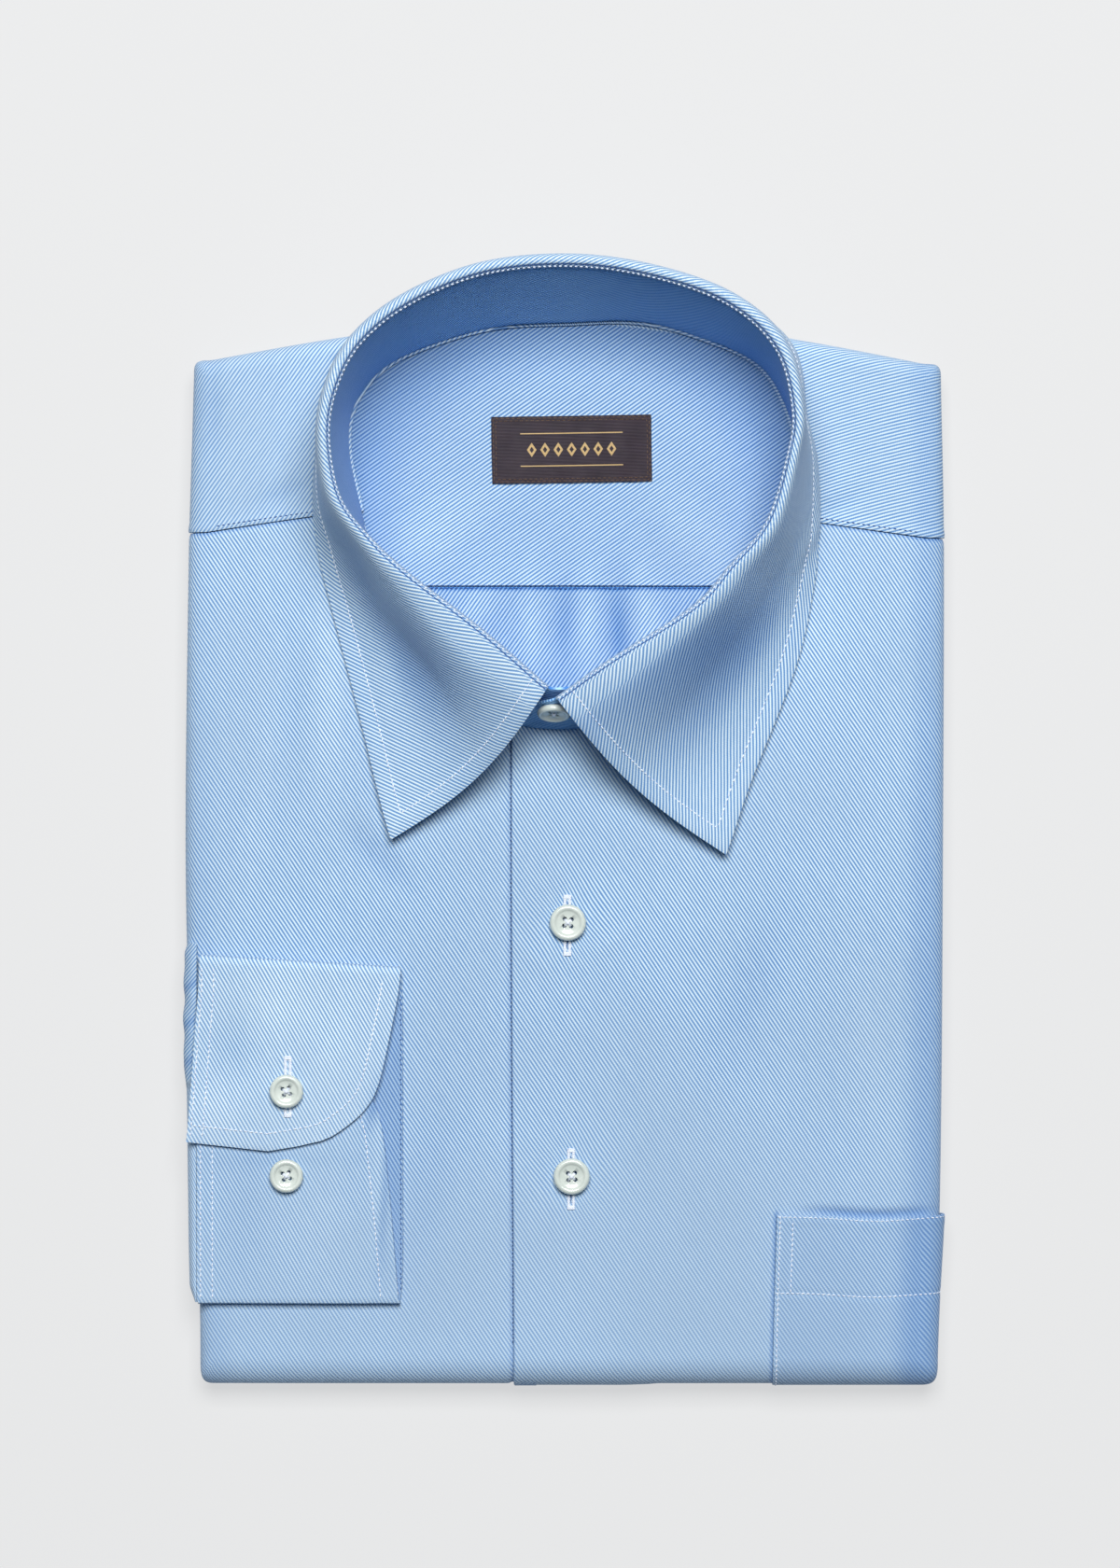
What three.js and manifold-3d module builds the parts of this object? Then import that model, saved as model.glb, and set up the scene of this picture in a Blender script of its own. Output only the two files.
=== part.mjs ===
// A long-sleeved dress shirt, folded for the shelf and lying face up on a table.
// Millimetres, +Z up, +Y towards the collar, +X towards the chest pocket.
// The origin is on the table, under the middle of the folded body.
import * as THREE from 'three';
import Module from 'manifold-3d';

const wasm = await Module();
wasm.setup();

// Rows of numbers with the names of their columns
function table(columns, rows) {
  return rows.map((row) => Object.fromEntries(columns.map((name, i) => [name, row[i]])));
}

// Cloth
const cloth = 1.0;            // one ply of shirting with its turnings
const bandSlack = 0.1;        // the band clears the facets of the fronts
const fused = 1.0;            // collar and cuff cloth, two plies and a lining between
const seam = 0.3;             // clearance between pieces that are sewn or lie together
const ply = cloth + seam;

// Folded body
const halfWidth = 115;        // flat stretch of the cloth, from the middle to where a side fold starts
const tailFold = -156;        // where the fold at the tail starts
const shoulderFold = 165;     // where the fold at the shoulders starts
const foldStart = 90;         // above this the rows follow the slope of the shoulders
const thickness = 17.6;       // table to the top of the fronts
const crown = { side: 1.1, end: 0.9 };   // how much lower the top is at its sides and ends
const sideRoll = 5.5;         // reach of the fold at the sides and the shoulders
const tailRoll = 9;           // reach of the fold at the tail
const sideUnder = 7;          // the side folds come round to this height
const tailUnder = 1.6;        // the tail fold comes round to this height
const fullTurn = 150;         // degrees that a panel turns round a fold
const cornerPower = 4;        // how square the corners are in plan

// Width of the body along its length
const sideEdges = [
  { y: -166, left: -118.2, right: 117.9 },
  { y: -140, left: -118.4, right: 118.8 },
  { y: -110, left: -119.6, right: 120.2 },
  { y: -60, left: -121.7, right: 120.9 },
  { y: 10, left: -123.0, right: 121.3 },
  { y: 108, left: -121.9, right: 121.6 },
  { y: 166, left: -120.3, right: 120.6 },
];

// Slope of the shoulders up to the back of the neck
const shoulderEdge = [
  { x: -126, y: 163.2 },
  { x: -68, y: 173.2 },
  { x: -34, y: 179.5 },
  { x: 0, y: 182.5 },
  { x: 36, y: 179.0 },
  { x: 72, y: 172.1 },
  { x: 126, y: 161.9 },
];

// Soft rises of the cloth over the layers inside
const rises = [
  { x: -62, y: -62, long: 66, wide: 46, heading: 80, height: 0.8 },
  { x: -70, y: 58, long: 60, wide: 24, heading: 62, height: 0.6 },
  { x: 84, y: 40, long: 80, wide: 26, heading: 96, height: 0.6 },
  { x: 40, y: -120, long: 60, wide: 30, heading: 12, height: 0.5 },
];

// Columns and rows of the cloth, in millimetres along it
const columns = [-halfWidth, -98, -81, -66, -50, -34, -17.5, 0, 17, 31, 48, 66, 81, 98, halfWidth];
const rows = [
  tailFold, -133, -109.5, -86, -62, -38, -14, 10, 34, 50, 64, 78, 92, 104, 116, 128, 140, 152, shoulderFold,
];
const turns = [30, 60, 90, 120, fullTurn];

// Front opening: the left front lies over the right one
const placketEdge = -17.5;
const underEdge = 17;
const placketFade = 31;

// Inside of the back, where it shows in the neck
const insideHalf = 81;
const insideStart = 34;       // the inside is made from here to the shoulders
const insideSeam = 92;
const neckCentre = { x: 1.5, y: 112 };
const neckHalf = { x: 66, y: 60 };
const neckDip = 3.2;
const dipSlope = 0.75;        // part of the way to the middle where it is deepest

// Hem of the hidden layers: how far each ring stands out from where the fold starts, and its height
const sideLayers = [
  { out: 1.3, z: 8.2 },
  { out: 1.5, z: 7.2 },
  { out: 3.4, z: 6.7 },
  { out: 4.6, z: 5.3 },
  { out: 3.1, z: 3.8 },
  { out: 4.7, z: 2.2 },
  { out: 4.0, z: 0.7 },
  { out: 2.6, z: 0 },
];
const tailLayers = [
  { out: 3.0, z: 3.2 },
  { out: 2.8, z: 2.7 },
  { out: 2.7, z: 2.2 },
  { out: 2.6, z: 1.7 },
  { out: 2.5, z: 1.2 },
  { out: 2.4, z: 0.8 },
  { out: 2.3, z: 0.4 },
  { out: 2.0, z: 0 },
];

// Seams where the fronts meet the yoke, from the left side to the right one
const beyond = { side: 140, top: 260 };   // clear of the body on every side
const frontRows = 128;        // the fronts are made up to here, the yoke from yokeRows, and both are cut
const yokeRows = 92;
const yokeSeam = [
  { x: -beyond.side, y: 105.6 },
  { x: -81, y: 114.6 },
  { x: 0, y: 121 },
  { x: 81, y: 112.5 },
  { x: beyond.side, y: 104.2 },
];

// Collar, a row for each section from the right front, round the back, to the left front.
// x, y, z: seam to the band. heading: the way the leaf falls. brow, browZ: end of the roll.
// foot, footZ: where the fall flattens. reach, edgeZ: outer edge. bow: sideways curve of the section.
// lean: how far the band leans out between the neckline and this seam.
const sections = table(
  ['x', 'y', 'z', 'heading', 'brow', 'browZ', 'foot',
    'footZ', 'reach', 'edgeZ', 'bow', 'lean'],
  [
    [-5.8, 59.6, 41, 224, 14, 43.5, 46, 25, 70.5, 22.5, 5, -13],
    [-26, 77, 46, 216, 15, 48, 27, 23, 49.5, 20.4, 1, -18.3],
    [-49.5, 95, 50.5, 207, 8.5, 51, 18, 22, 28.5, 20, 0, -10],
    [-61, 105.5, 52, 192, 6.5, 52, 12.5, 22.5, 19, 19.8, 0, -2.6],
    [-71, 118.5, 53, 179, 5.6, 53, 8.2, 24, 10.8, 19.8, 0, 4.5],
    [-74.6, 137, 54, 174, 5.2, 54, 5, 27, 6, 19.8, 0, 4.6],
    [-72.5, 152, 54, 158, 5.2, 54, 4.8, 27, 6.4, 19.6, 0, 4.6],
    [-65, 166.5, 54, 145, 5.2, 54, 5.2, 27, 7.4, 18.4, 0, 7.5],
    [-49.5, 179, 54.5, 120, 5.2, 54.5, 5.2, 26, 5.4, 15.4, 0, 11],
    [-26, 188.5, 55, 103, 5.2, 55, 3.2, 25, 0.5, 13, 0, 13.5],
    [1.3, 191, 55, 90, 5.2, 55, 2.4, 25, -1.5, 12.5, 0, 14.2],
    [27, 187.5, 55, 77, 5.2, 55, 3.4, 25, 1, 13, 0, 10.8],
    [50.5, 179, 54.5, 60, 5.2, 54.5, 5.2, 26, 5.4, 15.4, 0, 9.3],
    [65.5, 165, 54, 39, 5.4, 54, 6.2, 27, 8.6, 18.4, 0, 4],
    [70.7, 146, 53.5, 8, 4.6, 53.5, 5, 28, 6.6, 19.6, 0, -1],
    [69, 131.5, 53, -4, 4.8, 53, 9, 26, 11.8, 19.8, 0, -4],
    [62.5, 111, 52.5, -13, 6, 52.4, 15, 24, 19, 19.8, 0, -7.8],
    [50.7, 97, 51.5, -20, 8, 51.8, 22, 23, 29.5, 19.9, 0, -12.8],
    [39, 84.5, 50, -27.5, 9, 51, 26, 23, 39, 20.1, 0, -14],
    [12.5, 67.5, 45, -37, 15, 47.5, 38, 24, 59.5, 21, -1, -18.5],
    [-3.7, 56.1, 40, -42.6, 15, 43, 48, 25.5, 74.3, 22.5, -4, -13],
  ],
);
const crest = { rise: 3.6, over: 3, top: 5 };   // the roll above the seam, in every section
const neckInset = 0.8;        // how far the fronts and yoke reach in under the band
const collarSteps = 54;
const leafSteps = [0, 0.6, 1.1, 1.55, 2, 2.5, 3, 3.35, 3.7, 4];
const bandSteps = 4;
const neckSteps = 36;

// Ends of the band, which button over each other: neckline and top edge, from the last section outwards
const underTab = [
  { baseX: 12, baseY: 51.6, x: 11.5, y: 57.6, z: 28 },
  { baseX: 4, baseY: 49.4, x: 3.5, y: 59.7, z: 38 },
];
const overTab = [
  { baseX: -6, baseY: 46.9, x: -10.5, y: 54.6, z: 35.5 },
  { baseX: -16, baseY: 48.2, x: -16.5, y: 51.2, z: 27 },
];

// Cuff: y and lift above the body of its turned band, with its left and right ends,
// from the free end of the flap, round the top fold, along the back, to the underlap
const cuffFlap = [
  { left: -122.3, leftY: -86.4, right: -95.9, rightY: -89.3 },
  { left: -122.1, leftY: -84.9, right: -79.2, rightY: -86.1 },
  { left: -121.7, leftY: -81.6, right: -70.8, rightY: -81.4 },
  { left: -121.2, leftY: -75.0, right: -64.0, rightY: -75.0 },
  { left: -120.6, leftY: -67.0, right: -60.2, rightY: -67.0 },
  { left: -119.4, leftY: -50.4, right: -56.4, rightY: -50.4 },
  { left: -118.4, leftY: -38.0, right: -54.2, rightY: -39.0 },
];
const cuffUnderlap = [
  { left: -118.9, leftY: -136.6, right: -54.2, rightY: -136.6 },
  { left: -118.9, leftY: -110.0, right: -56.4, rightY: -110.0 },
  { left: -118.9, leftY: -83.5, right: -59.2, rightY: -83.5 },
  { left: -118.9, leftY: -74.0, right: -61.9, rightY: -74.0 },
  { left: -118.9, leftY: -66.0, right: -67.0, rightY: -66.0 },
];
const cuffBack = { left: -118.3, right: -52.8 };
const cuffBackRows = [-45, -85, -125];
const cuffFolds = { topLeft: -118, topRight: -53.4, bottomLeft: -118.6, bottomRight: -53.6, steps: 5 };
const cuffTop = { left: -28.4, right: -32.3 };
const cuffBottom = -137.4;
const cuffLift = { back: 0.95, under: 2.75, flap: 4.3 };
const cuffColumns = 8;

// Sleeve, where it comes round the side of the body to the cuff: its outer edge, and each
// point of its section as a part of the way in to the cuff
const sleeveEdge = [
  { y: -22.5, x: -124.1 },
  { y: -60, x: -124.1 },
  { y: -100, x: -123.4 },
  { y: -138, x: -121.9 },
];
const sleeveSection = [
  { part: 1, z: 18.7 },
  { part: 0.56, z: 18.4 },
  { part: 0.14, z: 16.2 },
  { part: 0, z: 12.4 },
  { part: 0.08, z: 9.2 },
  { part: 0.32, z: 7.2 },
];
const sleeveInner = -119.4;
const pleats = { start: -26, end: -62, count: 3, depth: 0.5 };
const sleeveRows = 19;

// Pocket
const pocketEdge = 67.6;
const pocketMouth = -109.5;
const pocketSlack = 0.1;
const pocketTurns = 4;        // it goes as far round the folds as this many of the turns
const pocketGape = { x: 90, wide: 26, long: 22, height: 1.1 };

// Label and buttons
const label = { x: 1.5, y: 136.3, wide: 51.4, high: 21.4, thick: 1.0, turn: 0.9 };
const button = { radius: 5.85, sides: 16, holes: 4, holeRadius: 0.75, holeSides: 5, holeCircle: 1.55 };
const buttonProfile = table(
  ['r', 'z'],
  [[0, 0], [4.3, 0], [5.5, 0.6], [5.85, 1.4], [5.5, 2.3], [4.8, 2.5], [3.9, 2.0], [0, 1.7]],
);
const cuffButtonRadius = 5.4;
const cuffButtons = [
  { name: 'cuff_button_flap', x: -89.9, y: -70, layer: 'flap' },
  { name: 'cuff_button_spare', x: -90, y: -97.2, layer: 'under' },
];
const neckButtonAt = { along: 0.35, up: 0.75 };
const frontButtons = [{ x: 0.3, y: -16 }, { x: 1.5, y: -97.5 }];

const colours = {
  shirting: 0x9bbee4,
  collar: 0x93b6dc,
  inside: 0x7fa6d6,
  button: 0xe6ebe4,
  label: 0x2b2226,
};

const radians = THREE.MathUtils.degToRad;
const { clamp, lerp, smoothstep } = THREE.MathUtils;
const vec = (x, y, z) => new THREE.Vector3(x, y, z);

// Value of a column between the rows of a table, on a smooth curve through them
function between(table, column, at) {
  const last = table.length - 1;
  const i = clamp(Math.floor(at), 0, last - 1);
  const t = at - i;
  const value = (k) => table[clamp(k, 0, last)][column];
  const a = value(i);
  const b = value(i + 1);
  const slopeA = (b - value(i - 1)) / (i > 0 ? 2 : 1);
  const slopeB = (value(i + 2) - a) / (i + 2 <= last ? 2 : 1);
  const t2 = t * t;
  const t3 = t2 * t;
  return a * (2 * t3 - 3 * t2 + 1) + slopeA * (t3 - 2 * t2 + t)
    + b * (3 * t2 - 2 * t3) + slopeB * (t3 - t2);
}

// The same, looked up by the value of another column that rises or falls down the table
function lookUp(table, key, column, at) {
  const down = table[1][key] < table[0][key] ? -1 : 1;
  let i = 0;
  while (i < table.length - 2 && (at - table[i + 1][key]) * down > 0) i++;
  const span = table[i + 1][key] - table[i][key];
  return between(table, column, i + clamp((at - table[i][key]) / span, 0, 1));
}

// Indexed geometry with its faces pointing out
function solidFrom(points, triangles) {
  let volume = 0;
  for (const [a, b, c] of triangles) {
    volume += points[a].dot(vec(0, 0, 0).crossVectors(points[b], points[c]));
  }
  const faces = volume < 0 ? triangles.map(([a, b, c]) => [a, c, b]) : triangles;
  const geometry = new THREE.BufferGeometry();
  geometry.setAttribute('position', new THREE.Float32BufferAttribute(points.flatMap((p) => p.toArray()), 3));
  geometry.setIndex(faces.flat());
  return geometry;
}

// The two triangles of one cell of a grid, split along the diagonal that points to the middle
function cell(grid, i, j) {
  const wide = grid[0].length;
  const [a, b] = [i * wide + j, i * wide + j + 1];
  const [c, d] = [b + wide, a + wide];
  const centre = grid[i][j].clone().add(grid[i + 1][j + 1]);
  if ((centre.x > 0) === (centre.y > 0)) return [[a, b, c], [a, c, d]];
  return [[a, b, d], [b, c, d]];
}

// A closed wall between two grids of points
function wall(outer, inner) {
  const high = outer.length;
  const wide = outer[0].length;
  const count = high * wide;
  const points = [...outer.flat(), ...inner.flat()];
  const front = (i, j) => i * wide + j;
  const back = (i, j) => count + front(i, j);
  const triangles = [];
  const quad = (a, b, c, d) => triangles.push([a, b, c], [a, c, d]);
  for (let i = 0; i < high - 1; i++) {
    for (let j = 0; j < wide - 1; j++) {
      for (const [a, b, c] of cell(outer, i, j)) {
        triangles.push([a, b, c], [count + a, count + c, count + b]);
      }
    }
  }
  for (let i = 0; i < high - 1; i++) {
    quad(front(i, 0), front(i + 1, 0), back(i + 1, 0), back(i, 0));
    quad(front(i + 1, wide - 1), front(i, wide - 1), back(i, wide - 1), back(i + 1, wide - 1));
  }
  for (let j = 0; j < wide - 1; j++) {
    quad(front(0, j + 1), front(0, j), back(0, j), back(0, j + 1));
    quad(front(high - 1, j), front(high - 1, j + 1), back(high - 1, j + 1), back(high - 1, j));
  }
  return solidFrom(points, triangles);
}

// Points of a grid moved along its own normals
function moved(grid, distance) {
  const at = (i, j) => grid[clamp(i, 0, grid.length - 1)][clamp(j, 0, grid[0].length - 1)];
  return grid.map((row, i) => row.map((p, j) => {
    const along = vec(0, 0, 0).subVectors(at(i, j + 1), at(i, j - 1));
    const across = vec(0, 0, 0).subVectors(at(i + 1, j), at(i - 1, j));
    return p.clone().addScaledVector(along.cross(across).normalize(), distance);
  }));
}

const gridOf = (us, vs, point) => vs.map((v) => us.map((u) => point(u, v)));
const steps = (count, from, to) => Array.from({ length: count + 1 }, (_, i) => lerp(from, to, i / count));

// Height of the cloth over the layers inside
function bodyTop(x, y) {
  let z = thickness - crown.side * (x / 120) ** 4 - crown.end * (y / 175) ** 4;
  for (const rise of rises) {
    const turn = radians(rise.heading);
    const along = (x - rise.x) * Math.cos(turn) + (y - rise.y) * Math.sin(turn);
    const across = (y - rise.y) * Math.cos(turn) - (x - rise.x) * Math.sin(turn);
    z += rise.height * Math.exp(-((along / rise.long) ** 2) - (across / rise.wide) ** 2);
  }
  return z;
}

// Where a point of the cloth lies in plan before it turns round a fold
function planPoint(u, v) {
  const edge = lookUp(sideEdges, 'y', u < 0 ? 'left' : 'right', v);
  const x = u * (Math.abs(edge) - sideRoll) / halfWidth;
  const top = lookUp(shoulderEdge, 'x', 'y', x) - sideRoll;
  const y = v > foldStart ? lerp(foldStart, top, (v - foldStart) / (shoulderFold - foldStart)) : v;
  return { x, y };
}

// A point of the folded body, u across and v along the cloth, and `out` beyond its top face.
// Past halfWidth, tailFold and shoulderFold the cloth turns round the fold.
function bodyPoint(u, v, out = 0) {
  const flatU = clamp(u, -halfWidth, halfWidth);
  const flatV = clamp(v, tailFold, shoulderFold);
  const { x, y } = planPoint(flatU, flatV);
  const across = Math.abs(u - flatU) / sideRoll;
  const endRoll = v < flatV ? tailRoll : sideRoll;
  const along = Math.abs(v - flatV) / endRoll;
  const turn = Math.max(across, along);
  const span = (across ** cornerPower + along ** cornerPower) ** (1 / cornerPower) || 1;
  const nx = Math.sign(u) * across / span;
  const ny = Math.sign(v - flatV) * along / span;
  const under = v < flatV ? lerp(sideUnder, tailUnder, ny ** cornerPower) : sideUnder;
  const half = (bodyTop(x, y) - under) / 2;
  return vec(
    x + nx * (sideRoll + out) * Math.sin(turn),
    y + ny * (endRoll + out) * Math.sin(turn),
    under + half + (half + out) * Math.cos(turn),
  );
}

const roundSide = (turn) => halfWidth + radians(turn) * sideRoll;
const roundTail = (turn) => tailFold - radians(turn) * tailRoll;
const roundShoulder = (turn) => shoulderFold + radians(turn) * sideRoll;
const leftTurns = [...turns].reverse().map((turn) => -roundSide(turn));
const rightTurns = turns.map(roundSide);
const tailTurns = [...turns].reverse().map(roundTail);
const shoulderTurns = turns.map(roundShoulder);
const inside = (u, v) => Math.abs(u) <= insideHalf && v >= insideStart && v <= shoulderFold;

// How far the inside of the back dips under the fronts
function neckHollow(u, v) {
  const { x, y } = planPoint(clamp(u, -halfWidth, halfWidth), clamp(v, tailFold, shoulderFold));
  return dip(x, y);
}

function dip(x, y) {
  const away = Math.hypot((x - neckCentre.x) / neckHalf.x, (y - neckCentre.y) / neckHalf.y);
  return neckDip * smoothstep(1 - away, 0, dipSlope);
}

// The hidden layers: sleeves, sides and tail folded behind, under a top that the fronts lie on
function foldedLayers() {
  const us = [...leftTurns, ...columns, ...rightTurns];
  const vs = [...tailTurns, ...rows, ...shoulderTurns];
  const depth = (u, v) => -ply - (inside(u, v) ? ply + neckHollow(u, v) : 0);
  const top = gridOf(us, vs, (u, v) => bodyPoint(u, v, depth(u, v)));
  const points = top.flat();
  const triangles = [];
  const wide = us.length;
  const high = vs.length;
  for (let i = 0; i < high - 1; i++) {
    for (let j = 0; j < wide - 1; j++) {
      triangles.push(...cell(top, i, j));
    }
  }
  const border = [
    ...us.slice(0, -1).map((u, j) => [0, j]),
    ...vs.slice(0, -1).map((v, i) => [i, wide - 1]),
    ...us.slice(1).map((u, j) => [high - 1, wide - 1 - j]),
    ...vs.slice(1).map((v, i) => [high - 1 - i, 0]),
  ];
  let ring = border.map(([i, j]) => i * wide + j);
  sideLayers.forEach((layer, k) => {
    const next = border.map(([i, j], n) => {
      points.push(layerPoint(us[j], vs[i], layer, tailLayers[k]));
      return points.length - 1;
    });
    ring.forEach((a, n) => {
      const b = ring[(n + 1) % ring.length];
      const c = next[(n + 1) % ring.length];
      triangles.push([b, a, next[n]], [b, next[n], c]);
    });
    ring = next;
  });
  const outline = ring.map((n) => new THREE.Vector2(points[n].x, points[n].y));
  for (const [a, b, c] of THREE.ShapeUtils.triangulateShape(outline, [])) {
    triangles.push([ring[a], ring[c], ring[b]]);
  }
  return solidFrom(points, triangles);
}

// A point on one ring of the hidden layers, below the border of their top
function layerPoint(u, v, sideLayer, tailLayer) {
  const flatU = clamp(u, -halfWidth, halfWidth);
  const flatV = clamp(v, tailFold, shoulderFold);
  const { x, y } = planPoint(flatU, flatV);
  const across = Math.abs(u - flatU);
  const along = Math.abs(v - flatV) * (v < flatV ? sideRoll / tailRoll : 1);
  const span = (across ** cornerPower + along ** cornerPower) ** (1 / cornerPower) || 1;
  const tail = v < flatV ? (along / span) ** cornerPower : 0;
  const out = lerp(sideLayer.out, tailLayer.out, tail);
  return vec(
    x + Math.sign(u) * across / span * out,
    y + Math.sign(v - flatV) * along / span * out,
    lerp(sideLayer.z, tailLayer.z, tail),
  );
}

// Booleans
function toManifold(geometry) {
  const vertProperties = new Float32Array(geometry.attributes.position.array);
  const triVerts = new Uint32Array(geometry.index.array);
  return new wasm.Manifold(new wasm.Mesh({ numProp: 3, vertProperties, triVerts }));
}

function toGeometry(solid) {
  const mesh = solid.getMesh();
  const geometry = new THREE.BufferGeometry();
  geometry.setAttribute('position', new THREE.BufferAttribute(new Float32Array(mesh.vertProperties), 3));
  geometry.setIndex(new THREE.BufferAttribute(new Uint32Array(mesh.triVerts), 1));
  return geometry;
}

// An upright cutter with the given outline, through everything
function cutter(outline) {
  const shape = new THREE.Shape(outline.map(([x, y]) => new THREE.Vector2(x, y)));
  const prism = new THREE.ExtrudeGeometry(shape, { depth: 80, bevelEnabled: false });
  return toManifold(weld(prism.translate(0, 0, -20)));
}

// Collar: the two rails of the band
function seamPoint(at) {
  return vec(between(sections, 'x', at), between(sections, 'y', at), between(sections, 'z', at));
}

function neckPoint(at) {
  const turn = radians(between(sections, 'heading', at));
  const lean = between(sections, 'lean', at);
  const p = seamPoint(at);
  return vec(p.x - Math.cos(turn) * lean, p.y - Math.sin(turn) * lean, 0);
}

// Height that the band stands on: the fronts, and the placket's second layer at the middle
function standHeight(x, y) {
  return bodyTop(x, y) + placketLift(x) + seam + bandSlack;
}

function placketLift(u) {
  if (u < placketEdge - seam) return 0;
  return ply * (1 - smoothstep(u, underEdge, placketFade));
}

// A point of the leaf: t runs 0 to 4 from the seam inside, over the roll, to the outer edge
function leafPoint(at, t) {
  const row = {};
  for (const column of Object.keys(sections[0])) row[column] = between(sections, column, at);
  const turn = radians(row.heading);
  const profile = [
    [0, row.z],
    [0, row.z + crest.rise],
    [crest.over, row.z + crest.top],
    [row.brow, row.browZ],
    [row.foot, row.footZ],
    [row.reach, row.edgeZ],
  ];
  const middle = (a, b) => [(a[0] + b[0]) / 2, (a[1] + b[1]) / 2];
  const i = clamp(Math.floor(t), 0, 3);
  const s = t - i;
  const from = i === 0 ? profile[0] : middle(profile[i], profile[i + 1]);
  const to = i === 3 ? profile[5] : middle(profile[i + 1], profile[i + 2]);
  const blend = (k) => from[k] * (1 - s) ** 2 + 2 * profile[i + 1][k] * s * (1 - s) + to[k] * s * s;
  const reach = blend(0);
  const side = row.bow * Math.sin(Math.PI * clamp(reach / row.reach, 0, 1));
  return vec(
    row.x + Math.cos(turn) * reach - Math.sin(turn) * side,
    row.y + Math.sin(turn) * reach + Math.cos(turn) * side,
    blend(1),
  );
}

function collarLeaf() {
  const ats = steps(collarSteps, 0, sections.length - 1);
  const outer = ats.map((at) => leafSteps.map((t) => leafPoint(at, t)));
  return wall(outer, moved(outer, fused));
}

function collarBand() {
  const last = sections.length - 1;
  const rails = [
    ...underTab.map((end) => tabRails(end)),
    ...steps(collarSteps, 0, last).map((at) => [neckPoint(at), seamPoint(at)]),
    ...overTab.map((end) => tabRails(end)),
  ];
  const outer = rails.map(([foot, head]) => {
    const [low, high] = bandRail(foot, head);
    return steps(bandSteps, 0, 1).map((t) => low.clone().lerp(high, t));
  });
  const inner = moved(outer, fused);
  inner.forEach((row, i) => {
    row[0].setZ(standHeight(row[0].x, row[0].y));
    row[bandSteps].setZ(outer[i][bandSteps].z);
  });
  return wall(outer, inner);
}

// Foot and top of the band at one place, standing on the fronts and just below the leaf
function bandRail(foot, head) {
  return [vec(foot.x, foot.y, standHeight(foot.x, foot.y)), vec(head.x, head.y, head.z - seam)];
}

function tabRails(end) {
  return [vec(end.baseX, end.baseY, 0), vec(end.x, end.y, end.z)];
}

// Outline of the neckline, just inside the foot of the band
function neckOutline() {
  return steps(neckSteps, 0, sections.length - 1).map((at) => {
    const p = neckPoint(at);
    const away = vec(neckCentre.x - p.x, neckCentre.y - p.y, 0).normalize();
    return [p.x + away.x * neckInset, p.y + away.y * neckInset];
  });
}

// Region above the seam to the yoke, moved by `shift`
function yokeOutline(shift) {
  const line = yokeSeam.map(({ x, y }) => [x, y + shift]);
  return [...line, [beyond.side, beyond.top], [-beyond.side, beyond.top]];
}

// A panel of the body between two sets of columns and rows, before it is cut
function panel(us, vs, lift) {
  const outer = gridOf(us, vs, (u, v) => bodyPoint(u, v, lift(u)));
  const inner = gridOf(us, vs, (u, v) => bodyPoint(u, v, lift(u) - cloth));
  return toManifold(wall(outer, inner));
}

function rightFront() {
  const us = [...leftTurns, ...columns.filter((u) => u <= underEdge)];
  const vs = [...tailTurns, ...rows.filter((v) => v <= frontRows)];
  const cut = panel(us, vs, () => 0).subtract(cutter(yokeOutline(-seam / 2)));
  return toGeometry(cut.subtract(cutter(neckOutline())));
}

function leftFront() {
  const us = [...columns.filter((u) => u >= placketEdge), ...rightTurns];
  const vs = [...tailTurns, ...rows.filter((v) => v <= frontRows)];
  const cut = panel(us, vs, placketLift).subtract(cutter(yokeOutline(-seam / 2)));
  return toGeometry(cut.subtract(cutter(neckOutline())));
}

function yoke() {
  const us = [...leftTurns, ...columns, ...rightTurns];
  const vs = [...rows.filter((v) => v >= yokeRows), ...shoulderTurns];
  const cut = panel(us, vs, () => 0).intersect(cutter(yokeOutline(seam / 2)));
  return toGeometry(cut.subtract(cutter(neckOutline())));
}

// Inside of the back, lying on the hidden layers
function insidePanel(vs) {
  const us = columns.filter((u) => Math.abs(u) <= insideHalf);
  const face = (out) => gridOf(us, vs, (u, v) => bodyPoint(u, v, -ply - neckHollow(u, v) - out));
  return wall(face(0), face(cloth));
}

const innerYoke = () => insidePanel([insideSeam + seam / 2, ...rows.filter((v) => v > insideSeam)]);
const backRows = rows.filter((v) => v >= insideStart && v < insideSeam);
const back = () => insidePanel([...backRows, insideSeam - seam / 2]);

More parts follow.
